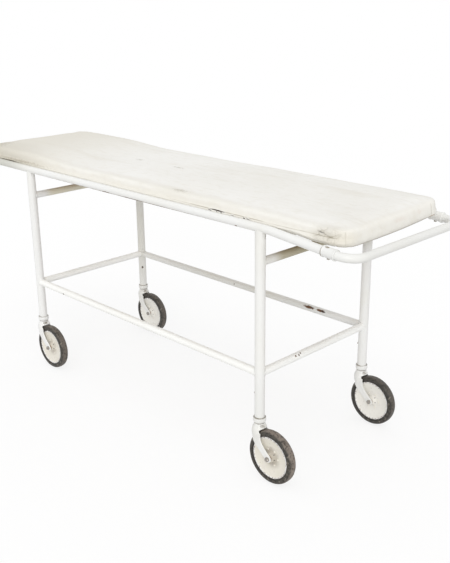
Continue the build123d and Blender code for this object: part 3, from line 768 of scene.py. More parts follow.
def disc_finish(name, centre, hub_dirt_and_shade=1.0):
    """Cream painted disc, a little grimy round the hub with a ring of painted shade there, painted light on the
    cleaner discs, and chips along the lip.
    """
    paint = bpy.context.scene.trolley_paint
    lip_radius = DISC_RADIUS - bpy.context.scene.trolley_caster.rim_lip
    finish = Finish(name, centre)
    radius = distance_from_axle(finish)
    dirt_and_shade = finish.grain(45.0, 5.0)
    smear = finish.math("ADD", radius, finish.fade(dirt_and_shade, 0.02))
    # Painted light: the discs with the least hub dirt are whitened
    clean = finish.mix(0.6 * max(0.0, 1.0 - hub_dirt_and_shade), paint.disc, paint.painted_light)
    tone = finish.mix(finish.ramp(dirt_and_shade, 0.35, 0.70, 0.5 * hub_dirt_and_shade), clean, paint.yellowed)
    tone = finish.mix(finish.ramp(smear, 0.040, 0.026, 0.12 * hub_dirt_and_shade), tone, paint.rust)
    # Ring of painted shade round the hub, with some dirt
    ring = finish.fade(finish.ramp(smear, 0.020, 0.026), finish.ramp(smear, 0.052, 0.032))
    tone = finish.mix(finish.fade(ring, 0.26 * hub_dirt_and_shade), tone, paint.dirt_and_shade)
    lip = finish.ramp(radius, lip_radius - 0.0015, lip_radius - 0.0003)
    tone = finish.mix(finish.fade(lip, 0.9), tone, paint.enamel)
    chips = finish.ramp(finish.grain(300.0, 3.0), 0.55, 0.60)
    tone = finish.mix(finish.fade(lip, chips), tone, paint.rust)
    specks = finish.ramp(finish.grain(210.0, 4.0), 0.70, 0.73)
    tone = finish.mix(specks, tone, paint.rust)
    dots = []
    for along, up, size in HUB_DOTS:
        dots.append(finish.blob(beside(centre, along, 0.0, up), (size, 0.04, size), ragged=0.3))
    tone = finish.mix(finish.either(dots), tone, paint.tyre)
    finish.bump(finish.grain(90.0, 3.0), depth=0.0005)
    finish.bump(specks, depth=-0.0002)
    return finish.complete(tone, finish.ramp(dirt_and_shade, 0.0, 1.0, 0.9), Specular_IOR_Level=0.4)


def tyre_finish(name, centre, dusty=0.8):
    """Dark rubber, mottled on its sides, dusty and scuffed brown on the tread."""
    paint = bpy.context.scene.trolley_paint
    finish = Finish(name, centre)
    worn = finish.fade(finish.grain(60.0, 5.0), 0.008)
    radius = finish.math("ADD", distance_from_axle(finish), worn)
    root = finish.ramp(radius, TYRE_RADIUS - 0.0065, TYRE_RADIUS - 0.0145, 0.7)
    tread = finish.ramp(radius, TYRE_RADIUS - 0.001, TYRE_RADIUS + 0.004, dusty)
    dust = finish.ramp(finish.grain(42.0, 6.0, roughness=0.65), 0.35, 0.75, 0.1 + 0.55 * dusty)
    pits = finish.ramp(finish.grain(120.0, 5.0, roughness=0.7), 0.50, 0.60, 0.8)
    scuffs = finish.ramp(finish.grain(110.0, 5.0, stretch=(1.0, 3.0, 1.0)), 0.60, 0.70, 0.6)
    tone = finish.mix(dust, paint.tyre, paint.tyre_dust)
    tone = finish.mix(root, tone, paint.tyre_root)
    tone = finish.mix(tread, tone, paint.tread)
    tone = finish.mix(pits, tone, paint.tyre_pits)
    tone = finish.mix(scuffs, tone, paint.tyre_scuffs)
    finish.bump(finish.grain(240.0, 5.0), depth=0.0006)
    return finish.complete(tone, finish.math("ADD", dust, 0.4), Specular_IOR_Level=0.35)


def aged_and_shaded_cover(finish, pad, clouds, streaks):
    """Colour of the cover, aged in clouds, streaks and mottle, with painted shade at the head end, and yellowing
    with painted shade at the foot end and along its rim.
    """
    along = finish.axis("X")
    across = finish.axis("Y", size=True)
    mottle = finish.grain(70.0, 5.0, stretch=(2.5, 1.0, 1.0), roughness=0.65)
    foot_corner = finish.blob((PAD_HIGH.x, PAD_LOW.y, BOARD_HIGH.z), (0.16, 0.14, 0.05), soft=0.0)
    tone = pad.cover
    for mask in (
        finish.ramp(clouds, 0.35, 0.80, 0.24),
        finish.ramp(streaks, 0.48, 0.75, 0.32),
        finish.ramp(mottle, 0.48, 0.72, 0.28),
        # Painted shade towards the head end
        finish.ramp(along, -0.15, -PAD_HALF.x, 0.75),
        # Yellowing of the foot face, with painted shade
        finish.either([
            finish.ramp(along, 0.5, PAD_HALF.x, 0.04),
            finish.ramp(along, PAD_HALF.x - 0.03, PAD_HALF.x - 0.004, 0.30),
            finish.fade(foot_corner, 0.9),
        ]),
        # Painted shade along the rim, where it would catch a highlight, with its yellowing
        finish.either([
            finish.ramp(across, PAD_HALF.y - 0.050, PAD_HALF.y - 0.012, 0.26),
            finish.ramp(across, PAD_HALF.y - 0.010, PAD_HALF.y - 0.001, 0.48),
        ]),
    ):
        tone = finish.mix(mask, tone, pad.aged_and_shaded)
    return tone


def crease_dirt_and_shade(finish, pad):
    """Mask of the broken line of dirt and painted shade where the long sides go over the board, towards the foot.
    """
    along = finish.axis("X")
    lifted = finish.ramp(along, LIFT_START * PAD_HALF.x, LIFT_END * PAD_HALF.x, CREASE_LIFT * pad.head_lift)
    level = finish.math("SUBTRACT", finish.axis("Z"), lifted)
    level = finish.math("SUBTRACT", level, BOARD_HIGH.z + pad.crease_rise)
    line = finish.ramp(finish.math("ABSOLUTE", level), 0.0019, 0.0004)
    broken = finish.ramp(finish.grain(24.0, 3.0, stretch=(3.0, 3.0, 1.0)), 0.34, 0.58, 0.6)
    long_side = finish.ramp(finish.axis("Y", size=True), PAD_HALF.y - 0.012, PAD_HALF.y - 0.004)
    foot_half = finish.ramp(along, 0.1, 0.4)
    return finish.fade(finish.fade(line, broken), finish.fade(long_side, foot_half))


def soiled_cover(finish, pad, tone):
    """Colour of the cover with its dirt and painted shade: darker towards the head's near corner, dirt and painted
    shade in crease and folds, a painted shadow along the head's near side, and dirt in spots.
    """
    head_corner = finish.blob((PAD_LOW.x - 0.021, PAD_LOW.y, PAD_HIGH.z), (0.55, 0.15, 0.30), soft=0.0)
    # Painted shadow of the gap between the pad and the near rail at the head end
    head_gap_shadow = finish.blob((-0.68, PAD_LOW.y, BOARD_HIGH.z + 0.0038), (0.26, 0.010, 0.010), 1.2, soft=0.0)
    smudges = []
    for along, across, reach, ragged in SMUDGES:
        smudges.append(finish.blob((along, across, PAD_HIGH.z), reach, ragged, soft=0.0))
    stains = []
    for across, up, reach in STAINS:
        stains.append(finish.blob((PAD_HIGH.x, across, BOARD_HIGH.z + up), reach, 1.4, soft=0.0, scale=60.0))
    # Dirt and painted shade in pleats and folds, and painted shadow along the hem
    folds = finish.add("ShaderNodeAttribute", {"attribute_name": "soil_and_shade"}).outputs["Fac"]
    for mask, share, colour in (
        (head_corner, 0.24, pad.grime_and_shade),
        (crease_dirt_and_shade(finish, pad), 1.0, pad.grime_and_shade),
        (finish.either(smudges), 0.40, pad.grime_and_shade),
        (head_gap_shadow, 0.60, pad.grime_and_shade),
        (finish.either(stains), 0.32, pad.stain),
        (folds, 0.75, pad.grime_and_shade),
    ):
        tone = finish.mix(finish.fade(mask, share), tone, colour)
    return tone


def slit_masks(finish):
    """Mask of the slits in the near side, with a painted shade line along the head's near side, and one of their
    clean lips, which the last slit doesn't have.
    """
    # Painted shade line of the gap over the near rail at the head, drawn as a slit without a cut
    head_shade_line = (-0.735, PAD_LOW.y, BOARD_HIGH.z - 0.0012)
    slits = [finish.blob(head_shade_line, (0.120, 0.010, 0.0026), ragged=0.5)]
    lips = []
    for along, up, half_length, tilt, dark in SLITS:
        place = (along, PAD_LOW.y, BOARD_HIGH.z + up)
        slit = finish.blob(place, (half_length, 0.012, 0.0020), ragged=0.7, tilt=tilt)
        slits.append(finish.fade(slit, dark))
        lips.append(finish.blob(place, (half_length * 1.15, 0.012, 0.0050), ragged=0.8, tilt=tilt))
    return finish.either(slits), finish.fade(finish.either(lips[:-1]), 0.7)


def leathercloth_finish():
    """Old white leathercloth: streaked, yellowed at the edges with painted shade there, smudged, creased and torn.
    """
    pad = bpy.context.scene.trolley_pad
    finish = Finish("white_leathercloth")
    clouds = finish.grain(3.0, 4.0)
    streaks = finish.grain(16.0, 5.0, stretch=(6.0, 1.0, 1.0), roughness=0.6)
    slits, lips = slit_masks(finish)
    tone = soiled_cover(finish, pad, aged_and_shaded_cover(finish, pad, clouds, streaks))
    tone = finish.mix(lips, tone, pad.cover)
    tone = finish.mix(slits, tone, pad.torn)
    finish.bump(finish.cells(900.0), depth=0.00012)
    finish.bump(streaks, depth=0.0009)
    finish.bump(finish.grain(34.0, 4.0), depth=0.0010)
    finish.bump(slits, depth=-0.0015)
    roughness = finish.math("ADD", finish.ramp(clouds, 0.2, 0.8, 0.15), 0.55)
    return finish.complete(tone, roughness, Specular_IOR_Level=0.3)


# Pieces

class TROLLEY_OT_paint_frame(Operator):
    """Paint the tubes and give the bare metals, board and bearings their finishes"""

    bl_idname = "trolley.paint_frame"
    bl_label = "Paint Frame"

    def execute(self, context):
        paint = context.scene.trolley_paint
        finishes = {
            "enamel": enamel_finish("white_enamel", paint.enamel, WORN_PLACES, DIRT_AND_SHADE_PLACES, PAINTED_SHADE_PLACES),
            "disc_paint": enamel_finish("cream_enamel", paint.disc),
            "plain_steel": steel_finish("plated_steel", paint.steel),
            "bronze": steel_finish("bearing_bronze", paint.bronze, rusty=0.2),
            "tyre": tyre_finish("plain_rubber", (0.0, 0.0, 0.0)),
            "leathercloth": enamel_finish("hidden_cover", paint.enamel),
            "foam": enamel_finish("hidden_foam", paint.yellowed),
            "plywood": plywood_finish(),
        }
        for subpart in frame["record"]["subparts"]:
            node = subpart["node"]
            dress(frame["nodes"][node], finishes[subpart["material_slot"]])
        # The cross rails under the top carry painted shade, with painted light at their near ends
        for end, colour in (("head", paint.shade_and_grime_head), ("foot", paint.shade_and_grime_foot)):
            rail = frame["nodes"]["upper_cross_rail_" + end]
            dress(rail, enamel_finish("shade_and_grime_enamel_" + end, colour, dinge=0.3, painted_lit_end=True))
        # Painted light on the lower rails, which lie in the top's shadow
        painted_light = enamel_finish("painted_light_enamel", paint.painted_light, WORN_PLACES, dinge=0.1)
        for rail in ("lower_side_rail_near", "lower_cross_rail_head", "lower_cross_rail_foot"):
            dress(frame["nodes"][rail], painted_light)
        dark_steel = steel_finish("dark_steel", paint.nut, rusty=0.4)
        for corner in CORNERS:
            dress(frame["nodes"]["hub_rivets_" + corner], finishes["disc_paint"])
            dress(frame["nodes"]["axle_nut_" + corner], dark_steel)
            dress(frame["nodes"]["axle_bolt_" + corner], dark_steel)
        return {"FINISHED"}


class TROLLEY_OT_fold_leg_tops(Operator):
    """Fold the crimped leg tops inwards behind their notches"""

    bl_idname = "trolley.fold_leg_tops"
    bl_label = "Fold Leg Tops"

    def execute(self, context):
        crimp = context.scene.trolley_crimp
        folds = []
        for post in LEGS.values():
            deselect_all()
            bpy.ops.mesh.primitive_cylinder_add(
                vertices=48, radius=1.0, depth=crimp.depth,
                location=(post.x, post.y, RAIL_UNDERSIDE - crimp.depth / 2))
            fold = context.object
            fold.scale = (crimp.along, crimp.across, 1.0)
            apply_place()
            bpy.ops.object.mode_set(mode="EDIT")
            pick("EDGE", lambda edge: sum(abs(face.normal.z) > 0.9 for face in edge.link_faces) == 1)
            bpy.ops.mesh.bevel(offset=crimp.rounding, segments=4, affect="EDGES")
            bpy.ops.object.mode_set(mode="OBJECT")
            folds.append(fold)
        piece = join(folds, "leg_top_folds")
        bpy.ops.object.shade_smooth_by_angle(angle=radians(40))
        dress(piece, bpy.data.materials["white_enamel"])
        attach(piece, "frame")
        return {"FINISHED"}


def weld_bead(post, height, along, settings):
    """Bead round the end of a tube that runs one way into a leg."""
    turn = (0.0, pi / 2, 0.0) if along.x else (pi / 2, 0.0, 0.0)
    deselect_all()
    bpy.ops.mesh.primitive_torus_add(
        major_radius=TUBE_RADIUS, minor_radius=settings.bead, major_segments=96, minor_segments=10,
        location=(0.0, 0.0, 0.0), rotation=turn)
    bead = bpy.context.object
    apply_place()
    across = Vector((-along.y, along.x, 0.0))
    start = Vector((post.x, post.y, height))
    for vertex in bead.data.vertices:
        side = vertex.co.dot(across)
        angle = np.arctan2(vertex.co.z, side)
        core = across * (cos(angle) * TUBE_RADIUS)
        core.z = sin(angle) * TUBE_RADIUS
        ripple = sin(angle * settings.ripples) * 0.4 + noise.noise((start + core) * 240.0)
        spread = (vertex.co - core) * (1.0 + settings.unevenness * ripple)
        reach = sqrt(LEG_RADIUS ** 2 - min(side ** 2, TUBE_RADIUS ** 2))
        vertex.co = start + core + spread + along * reach
    return bead


class TROLLEY_OT_weld_joints(Operator):
    """Lay the beads of weld where the stretchers meet the legs"""

    bl_idname = "trolley.weld_joints"
    bl_label = "Weld Joints"

    def execute(self, context):
        settings = context.scene.trolley_weld
        beads = []
        for corner, post in LEGS.items():
            inward_x = Vector((-1.0 if post.x > 0 else 1.0, 0.0, 0.0))
            inward_y = Vector((0.0, -1.0 if post.y > 0 else 1.0, 0.0))
            end, side = corner.split("_")
            for node, along in (
                ("lower_side_rail_" + side, inward_x),
                ("lower_cross_rail_" + end, inward_y),
                ("upper_cross_rail_" + end, inward_y),
            ):
                beads.append(weld_bead(post, middle(node).z, along, settings))
        welds = join(beads, "weld_beads")
        bpy.ops.object.shade_smooth()
        dress(welds, bpy.data.materials["white_enamel"])
        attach(welds, "frame")
        return {"FINISHED"}


def corner_rounding(node):
    """Radius of a flat node's upright corners, from where its straight end stops."""
    rows = points_of(frame["nodes"][node])
    end = rows[rows[:, 0] > rows[:, 0].max() - 1e-5]
    return rows[:, 1].max() - end[:, 1].max()


def way_out(rows, half, radius):
    """How far points lie outside a flat rounded shape, which way is out, and how far round a corner."""
    beyond = np.abs(rows[:, :2]) - (np.array(half)[:2] - radius)
    out = np.maximum(beyond, 0.0)
    length = np.linalg.norm(out, axis=1)[:, None]
    straight = np.eye(2)[beyond.argmax(axis=1)]
    way = np.where(length > 1e-9, out / np.maximum(length, 1e-9), straight)
    distance = length[:, 0] + np.minimum(beyond.max(axis=1), 0.0) - radius
    return distance, way * np.sign(rows[:, :2]), np.arctan2(out[:, 1], out[:, 0])


def block_out_pad(settings):
    """Plain pad with rounded corners and upper rim, in even cells."""
    size = PAD_HIGH - PAD_LOW
    drop = settings.start_drop
    deselect_all()
    bpy.ops.mesh.primitive_cube_add(size=1.0, location=beside(middle("pad_cover"), 0.0, 0.0, -drop / 2))
    pad = bpy.context.object
    pad.name = "padded_top"
    pad.scale = (size.x, size.y, size.z - drop)
    apply_place()
    bpy.ops.object.mode_set(mode="EDIT")
    pick("EDGE", lambda edge: abs(edge.verts[0].co.z - edge.verts[1].co.z) > settings.cell)
    bpy.ops.mesh.bevel(offset=corner_rounding("pad_cover"), segments=12, affect="EDGES")
    pick("EDGE", lambda edge: sum(face.normal.z > 0.9 for face in edge.link_faces) == 1)
    bpy.ops.mesh.bevel(offset=settings.top_round, segments=5, affect="EDGES")
    bpy.ops.object.mode_set(mode="OBJECT")
    pad.data.remesh_voxel_size = settings.cell
    bpy.ops.object.voxel_remesh()
    return pad


def swell_cover(pad, settings):
    """Let the foam push the cover out, held where it is stretched over the board."""
    rest = points_of(pad)
    stretched = np.flatnonzero(rest[:, 2] < BOARD_HIGH.z + settings.cell / 4)
    group = pad.vertex_groups.new(name="stretched")
    group.add(stretched.tolist(), 1.0, "REPLACE")
    cloth = pad.modifiers.new("Cover", "CLOTH")
    cloth.settings.use_pressure = True
    cloth.settings.uniform_pressure_force = settings.pressure
    cloth.settings.effector_weights.gravity = 0.0
    cloth.settings.vertex_group_mass = group.name
    cloth.point_cache.frame_start = 1
    cloth.point_cache.frame_end = settings.frames
    for step in range(1, settings.frames + 1):
        bpy.context.scene.frame_set(step)
    bpy.ops.object.modifier_apply(modifier=cloth.name)
    bpy.context.scene.frame_set(1)
    shift = points_of(pad) - rest
    reach = np.linalg.norm(shift, axis=1, keepdims=True)
    held = np.tanh(reach / settings.swell) * settings.swell
    move_points(pad, rest + shift * held / np.maximum(reach, 1e-9))
    pad.vertex_groups.clear()


def refine_cover():
    """Divide the sides twice, and soften the cells away."""
    bpy.ops.object.mode_set(mode="EDIT")
    pick("FACE", lambda face: face.normal.z > -0.8)
    bpy.ops.mesh.vertices_smooth(factor=0.5, repeat=2)
    for softening in (4, 6):
        pick("FACE", lambda face: abs(face.normal.z) < 0.93)
        bpy.ops.mesh.subdivide(number_cuts=1)
        bpy.ops.mesh.vertices_smooth(factor=0.5, repeat=softening)
    bpy.ops.object.mode_set(mode="OBJECT")


def head_rise(rows, settings):
    """How far the pad stands up at the head end."""
    return settings.head_lift * rise(rows[:, 0] / PAD_HALF.x, LIFT_START, LIFT_END)


def hem_drop(rows, settings):
    """How far the hem hangs below the board: at the near corner of the foot and along the foot face."""
    along = rows[:, 0] / PAD_HALF.x
    across = rows[:, 1] / PAD_HALF.y
    corner = settings.corner_hem * rise(along, FOOT_START, FOOT_END) * np.clip((1 - across) / 2, 0, 1) ** 2
    face = settings.hem_sag * rise(along, 0.93, 1.0) * np.clip(1 - (across + 0.25) ** 2, 0, 1)
    return corner + face


def sag_and_crown(rows, settings):
    """Lift the head, hang the foot's near corner and hem down, crown the top, bow and pull in the sides."""
    along = rows[:, 0] / PAD_HALF.x
    across = rows[:, 1] / PAD_HALF.y
    height = np.clip((rows[:, 2] - BOARD_LOW.z) / (PAD_HIGH.z - BOARD_LOW.z), 0, 1)
    crown = settings.crown * np.clip(1 - along ** 2, 0, 1) * np.clip(1 - across ** 2, 0, 1)
    corner = settings.foot_drop * rise(along, 0.62, 0.86) * np.clip((1 - across) / 2, 0, 1) ** 2
    foot = settings.foot_lift * rise(along, 0.05, 0.30) * np.clip((1 + across) / 2, 0, 1)
    rows[:, 2] += height * (head_rise(rows, settings) + crown + foot - corner)
    rows[:, 2] -= (1 - height) ** 2 * hem_drop(rows, settings)
    rows[:, 1] -= np.sign(across) * settings.waist * (1 - along ** 2) * np.abs(across) ** 6 * height
    rows[:, 0] += settings.bow * rise(along, 0.86, 1.0) * np.clip(1 - (across + 0.2) ** 2, 0, 1)


def crease_cover(rows, normals, settings):
    """Pinch the cover over the board, bulge, pleat and ripple it, and give the dirt and painted shade in the
    pleats.
    """
    upright = 1 - np.abs(normals[:, 2])
    outward = normals * [1, 1, 0]
    long_side = normals[:, 1] ** 2
    level = rows[:, 2] - BOARD_HIGH.z - settings.crease_rise - CREASE_LIFT * head_rise(rows, settings)
    line = (0.75 + 0.5 * wobble(rows, 11.0, 14.0)) * bell(level, settings.crease_width) * long_side
    roll = 0.6 * bell(level - 0.011, 0.009)
    push(rows, outward, settings.crease * (roll - line) * upright)
    bulge = bell(rows[:, 2] - BOARD_HIGH.z + 0.002 + hem_drop(rows, settings), 0.006)
    push(rows, outward, settings.overhang * bulge * long_side)
    soil_and_shade = pleat_corners(rows, outward, upright, settings)
    push(rows, normals, settings.waves * wobble(rows, 7.0, 3.0) + settings.ripple * wobble(rows, 26.0, 9.0))
    puckers = wobble(rows * [1.0, 1.0, 0.25], 60.0, 5.0) * bell(level - 0.010, 0.014)
    push(rows, outward, settings.pucker * puckers * upright)
    return soil_and_shade


def pleat_corners(rows, outward, upright, settings):
    """Pleat the cover's corners, seam the foot face's far end, and give the dirt and painted shade in them."""
    radius = corner_rounding("pad_cover")
    turn = way_out(rows, PAD_HALF, radius)[2]
    seam = np.where(turn > 0, 1.0, rows[:, 1] - PAD_HALF.y + radius + 0.008)
    soil_and_shade = np.zeros(len(rows))
    pleats = [((turn - radians(degrees)) * radius, share) for degrees, share in ((37, 0.5), (66, 0.6))]
    for arc, share in (*pleats, (seam, 1.0)):
        fold = 0.5 * bell(arc - 0.006, 0.005) - bell(arc, settings.pleat_width)
        push(rows, outward, share * settings.pleat * fold * upright)
        soil_and_shade += 0.6 * share * bell(arc, SOIL_AND_SHADE_WIDTH) * rise(upright, 0.3, 0.8)
    return soil_and_shade


def damage_cover(rows, normals, settings):
    """Crumple the near corner of the foot, open the near side's slits, and give the dirt and painted shade in the
    folds.
    """
    corner = (PAD_HIGH.x - 0.061, PAD_LOW.y + 0.008, BOARD_HIGH.z + 0.0048)
    near = bell(np.linalg.norm((rows - corner) * [0.75, 0.9, 1.6], axis=1), 0.040)
    folds = np.abs(wobble(rows * [0.9, 1.0, 1.7], 46.0, 21.0))
    fine = np.abs(wobble(rows * [1.0, 1.0, 1.5], 120.0, 4.0))
    depth = np.clip(1 - folds / 0.16, 0, 1) + 0.5 * np.clip(1 - fine / 0.15, 0, 1)
    push(rows, normals, -settings.crumple * near * (depth - 0.3))
    near_side = (rows[:, 1] < PAD_LOW.y + 0.02) & (np.abs(normals[:, 2]) < 0.8)
    for along, up, half_length, tilt, _ in SLITS:
        reach = rows[:, 0] - along
        inside = np.clip(1 - (reach / half_length) ** 2, 0, 1) * near_side
        above = rows[:, 2] - BOARD_HIGH.z - up + reach * np.tan(tilt)
        gape = settings.slit_lip * bell(above - 0.004, 0.0025) - settings.slit_depth * bell(above, 0.0018)
        push(rows, normals, gape * inside)
    dirtiest = (PAD_HIGH.x - 0.071, PAD_LOW.y, BOARD_HIGH.z + 0.0028)
    patch = bell(np.linalg.norm((rows - dirtiest) * [1.0, 1.0, 1.8], axis=1), 0.030)
    # Darker deep in the folds as painted shade and dirt, most in one patch
    return rise(near, 0.2, 0.75) * (0.12 + 0.6 * depth * (0.3 + 0.7 * patch))


def fit_to_board(rows, normals, settings):
    """Keep the cover outside the board's edge, turn its lip in below, and give the shade of the hem."""
    half = half_size("deck_board")
    distance, way, _ = way_out(rows, half, corner_rounding("deck_board"))
    underneath = (normals[:, 2] < -0.75) & (rows[:, 2] < BOARD_HIGH.z)
    edge = (rows[:, 2] < BOARD_HIGH.z + settings.cloth) & ~underneath
    push(rows[:, :2], way, np.where(edge, np.maximum(settings.cloth - distance, 0.0), 0.0))
    hang = hem_drop(rows, settings) * np.clip(1 + distance / settings.lip, 0, 1)
    lowest = BOARD_LOW.z - settings.cloth + settings.rail_gap
    inside_board = BOARD_LOW.z + half.z * 2 / 3
    turned_in = np.where(distance > -settings.lip, lowest, inside_board)
    rows[:, 2] = np.where(underneath, turned_in - hang, np.maximum(rows[:, 2], lowest - hang))
    foot = rise(rows[:, 0] / PAD_HALF.x, FOOT_START, FOOT_END)
    return 0.8 * foot * bell(rows[:, 2] - lowest + hang, SOIL_AND_SHADE_WIDTH)


def shape_cover(pad, settings):
    """Give the cover the sag, creases, damage and tight edge of a worn pad."""
    rows = points_of(pad)
    sag_and_crown(rows, settings)
    normals = points_of(pad, "normal")
    soil_and_shade = crease_cover(rows, normals, settings)
    soil_and_shade = np.maximum(soil_and_shade, damage_cover(rows, normals, settings))
    soil_and_shade = np.maximum(soil_and_shade, fit_to_board(rows, normals, settings))
    move_points(pad, rows)
    layer = pad.data.attributes.new("soil_and_shade", "FLOAT", "POINT")
    layer.data.foreach_set("value", soil_and_shade.astype(np.float32))


class TROLLEY_OT_pad_top(Operator):
    """Upholster the top: foam on a board under a worn cover of leathercloth"""

    bl_idname = "trolley.pad_top"
    bl_label = "Padded Top"

    def execute(self, context):
        settings = context.scene.trolley_pad
        pad = block_out_pad(settings)
        swell_cover(pad, settings)
        refine_cover()
        shape_cover(pad, settings)
        bpy.ops.object.shade_smooth()
        dress(pad, leathercloth_finish())
        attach(pad, "frame")
        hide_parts("pad_cover", "pad_foam")
        return {"FINISHED"}


def soften_fork(corner, settings):
    """Copy of a caster's fork with the soft edges of a pressing under thick paint."""
    deselect_all()
    piece = bpy.data.objects.new("pressed_fork_" + corner, frame["nodes"]["fork_" + corner].data.copy())
    bpy.context.collection.objects.link(piece)
    bpy.context.view_layer.objects.active = piece
    piece.select_set(True)
    bpy.ops.object.mode_set(mode="EDIT")
    bpy.ops.mesh.select_all(action="SELECT")
    bpy.ops.mesh.remove_doubles(threshold=1e-6)
    bpy.ops.object.mode_set(mode="OBJECT")
    piece.data.remesh_voxel_size = settings.fork_cell
    bpy.ops.object.voxel_remesh()
    bpy.ops.object.mode_set(mode="EDIT")
    bpy.ops.mesh.select_all(action="SELECT")
    bpy.ops.mesh.vertices_smooth(factor=0.5, repeat=settings.fork_softening)
    bpy.ops.object.mode_set(mode="OBJECT")
    rows = points_of(piece)
    normals = points_of(piece, "normal")
    push(rows, normals, settings.fork_waves * wobble(rows, 140.0, 6.0))
    move_points(piece, rows)
    bpy.ops.object.shade_smooth()
    return piece


class TROLLEY_OT_press_forks(Operator):
    """Press the caster forks with soft edges"""

    bl_idname = "trolley.press_forks"
    bl_label = "Caster Forks"

    def execute(self, context):
        for corner in CORNERS:
            piece = soften_fork(corner, context.scene.trolley_caster)
            dress(piece, bpy.data.materials["white_enamel"])
            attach(piece, "caster_" + corner)
            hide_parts("fork_" + corner)
        return {"FINISHED"}


def turn_disc(corner, settings):
    """Dished wheel disc with a rolled lip, a flat round the hub and a bored hub."""
    centre = WHEELS[corner]
    rim_radius, hub_half, _ = half_size("wheel_disc_" + corner)
    lip_radius = rim_radius - settings.rim_lip
    dish_radius = lip_radius - settings.lip_slope
    dish_half = settings.rim_half - settings.lip_fall
    steps = [(lip_radius, settings.rim_half), (dish_radius, dish_half)]
    for share in (0.2, 0.4, 0.6, 0.8, 1.0):
        radius = dish_radius + share * (settings.web_radius - dish_radius)
        dish = (dish_half - settings.web_half) * (1 - share) ** 1.6
        steps.append((radius, settings.web_half + dish))
    steps += [
        (settings.hub_radius + settings.hub_flare, settings.web_half),
        (settings.hub_radius, hub_half),
        (settings.bore, hub_half),
    ]
    deselect_all()
    bpy.ops.mesh.primitive_cylinder_add(
        vertices=96, radius=rim_radius, depth=2 * settings.rim_half,
        location=centre, rotation=(pi / 2, 0.0, 0.0))
    disc = bpy.context.object
    disc.name = "dished_disc_" + corner
    apply_place()
    bpy.ops.object.mode_set(mode="EDIT")
    for side in (-1.0, 1.0):
        pick("FACE", lambda face: face.normal.y * side > 0.9)
        radius, half = rim_radius, settings.rim_half
        for next_radius, next_half in steps:
            bpy.ops.mesh.inset(thickness=radius - next_radius, depth=0.0)
            bpy.ops.transform.translate(value=(0.0, side * (next_half - half), 0.0))
            radius, half = next_radius, next_half
        bpy.ops.mesh.delete(type="ONLY_FACE")
    pick("EDGE", lambda edge: edge.is_boundary)
    bpy.ops.mesh.bridge_edge_loops()
    bpy.ops.mesh.select_all(action="SELECT")
    bpy.ops.mesh.normals_make_consistent(inside=False)
    bpy.ops.object.mode_set(mode="OBJECT")
    bevel = disc.modifiers.new("Rounded edges", "BEVEL")
    bevel.width = settings.disc_edge
    bevel.segments = 3
    bevel.angle_limit = radians(20)
    bpy.ops.object.modifier_apply(modifier=bevel.name)
    bpy.ops.object.shade_smooth_by_angle(angle=radians(50))
    return disc


# How much dirt and painted shade each disc has round its hub, and below one, how much painted light
HUB_DIRT_AND_SHADE = {"head_near": 1.0, "head_far": 0.1, "foot_near": 1.6, "foot_far": 0.2}


class TROLLEY_OT_turn_discs(Operator):
    """Turn the dished wheel discs"""

    bl_idname = "trolley.turn_discs"
    bl_label = "Wheel Discs"

    def execute(self, context):
        for corner in CORNERS:
            disc = turn_disc(corner, context.scene.trolley_caster)
            dress(disc, disc_finish("disc_paint_" + corner, WHEELS[corner], HUB_DIRT_AND_SHADE[corner]))
            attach(disc, "wheel_" + corner)
            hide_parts("wheel_disc_" + corner)
        return {"FINISHED"}


def mould_tyre(corner, settings):
    """Solid tyre spun from a rounded section, scuffed on its tread."""
    centre = WHEELS[corner]
    wheel_radius, half_width, _ = half_size("tyre_" + corner)
    half_depth = settings.tyre_depth / 2
    top = centre + Vector((0.0, 0.0, wheel_radius - half_depth))
    deselect_all()
    bpy.ops.mesh.primitive_circle_add(vertices=56, radius=1.0, location=top, rotation=(0.0, pi / 2, 0.0))
    tyre = bpy.context.object
    tyre.name = "solid_tyre_" + corner
    tyre.scale = (half_depth, half_width, 1.0)
    apply_place()
    rows = points_of(tyre) - list(top)
    section = rows[:, 1:] / [half_width, half_depth]
    power = 2 / np.where(section[:, 1] > 0, settings.tyre_squareness, 2 * settings.tyre_squareness)
    rows[:, 1:] = np.sign(section) * np.abs(section) ** power[:, None] * [half_width, half_depth]
    move_points(tyre, rows + list(top))
    bpy.ops.object.mode_set(mode="EDIT")
    bpy.ops.mesh.select_all(action="SELECT")
    bpy.ops.mesh.spin(steps=144, angle=2 * pi, center=centre, axis=(0.0, 1.0, 0.0))
    bpy.ops.mesh.select_all(action="SELECT")
    bpy.ops.mesh.remove_doubles(threshold=1e-6)
    bpy.ops.mesh.normals_make_consistent(inside=False)
    bpy.ops.object.mode_set(mode="OBJECT")
    rows = points_of(tyre)
    normals = points_of(tyre, "normal")
    radius = np.linalg.norm(rows[:, [0, 2]] - [centre.x, centre.z], axis=1)
    outer = rise(radius, wheel_radius - half_depth, wheel_radius)
    worn = np.clip(wobble(rows, 55.0, 2.0), 0, 1) + 0.5 * np.clip(wobble(rows, 150.0, 8.0), 0, 1)
    push(rows, normals, -settings.scuff * worn * outer)
    move_points(tyre, rows)
    bpy.ops.object.shade_smooth()
    return tyre


# How dusty each tyre's tread is
DUSTY_TREADS = {"head_near": 0.5, "head_far": 0.35, "foot_near": 0.9, "foot_far": 0.25}


class TROLLEY_OT_mould_tyres(Operator):
    """Mould the solid tyres"""

    bl_idname = "trolley.mould_tyres"
    bl_label = "Tyres"

    def execute(self, context):
        for corner in CORNERS:
            tyre = mould_tyre(corner, context.scene.trolley_caster)
            dress(tyre, tyre_finish("rubber_" + corner, WHEELS[corner], DUSTY_TREADS[corner]))
            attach(tyre, "wheel_" + corner)
            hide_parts("tyre_" + corner)
        return {"FINISHED"}


# Stage

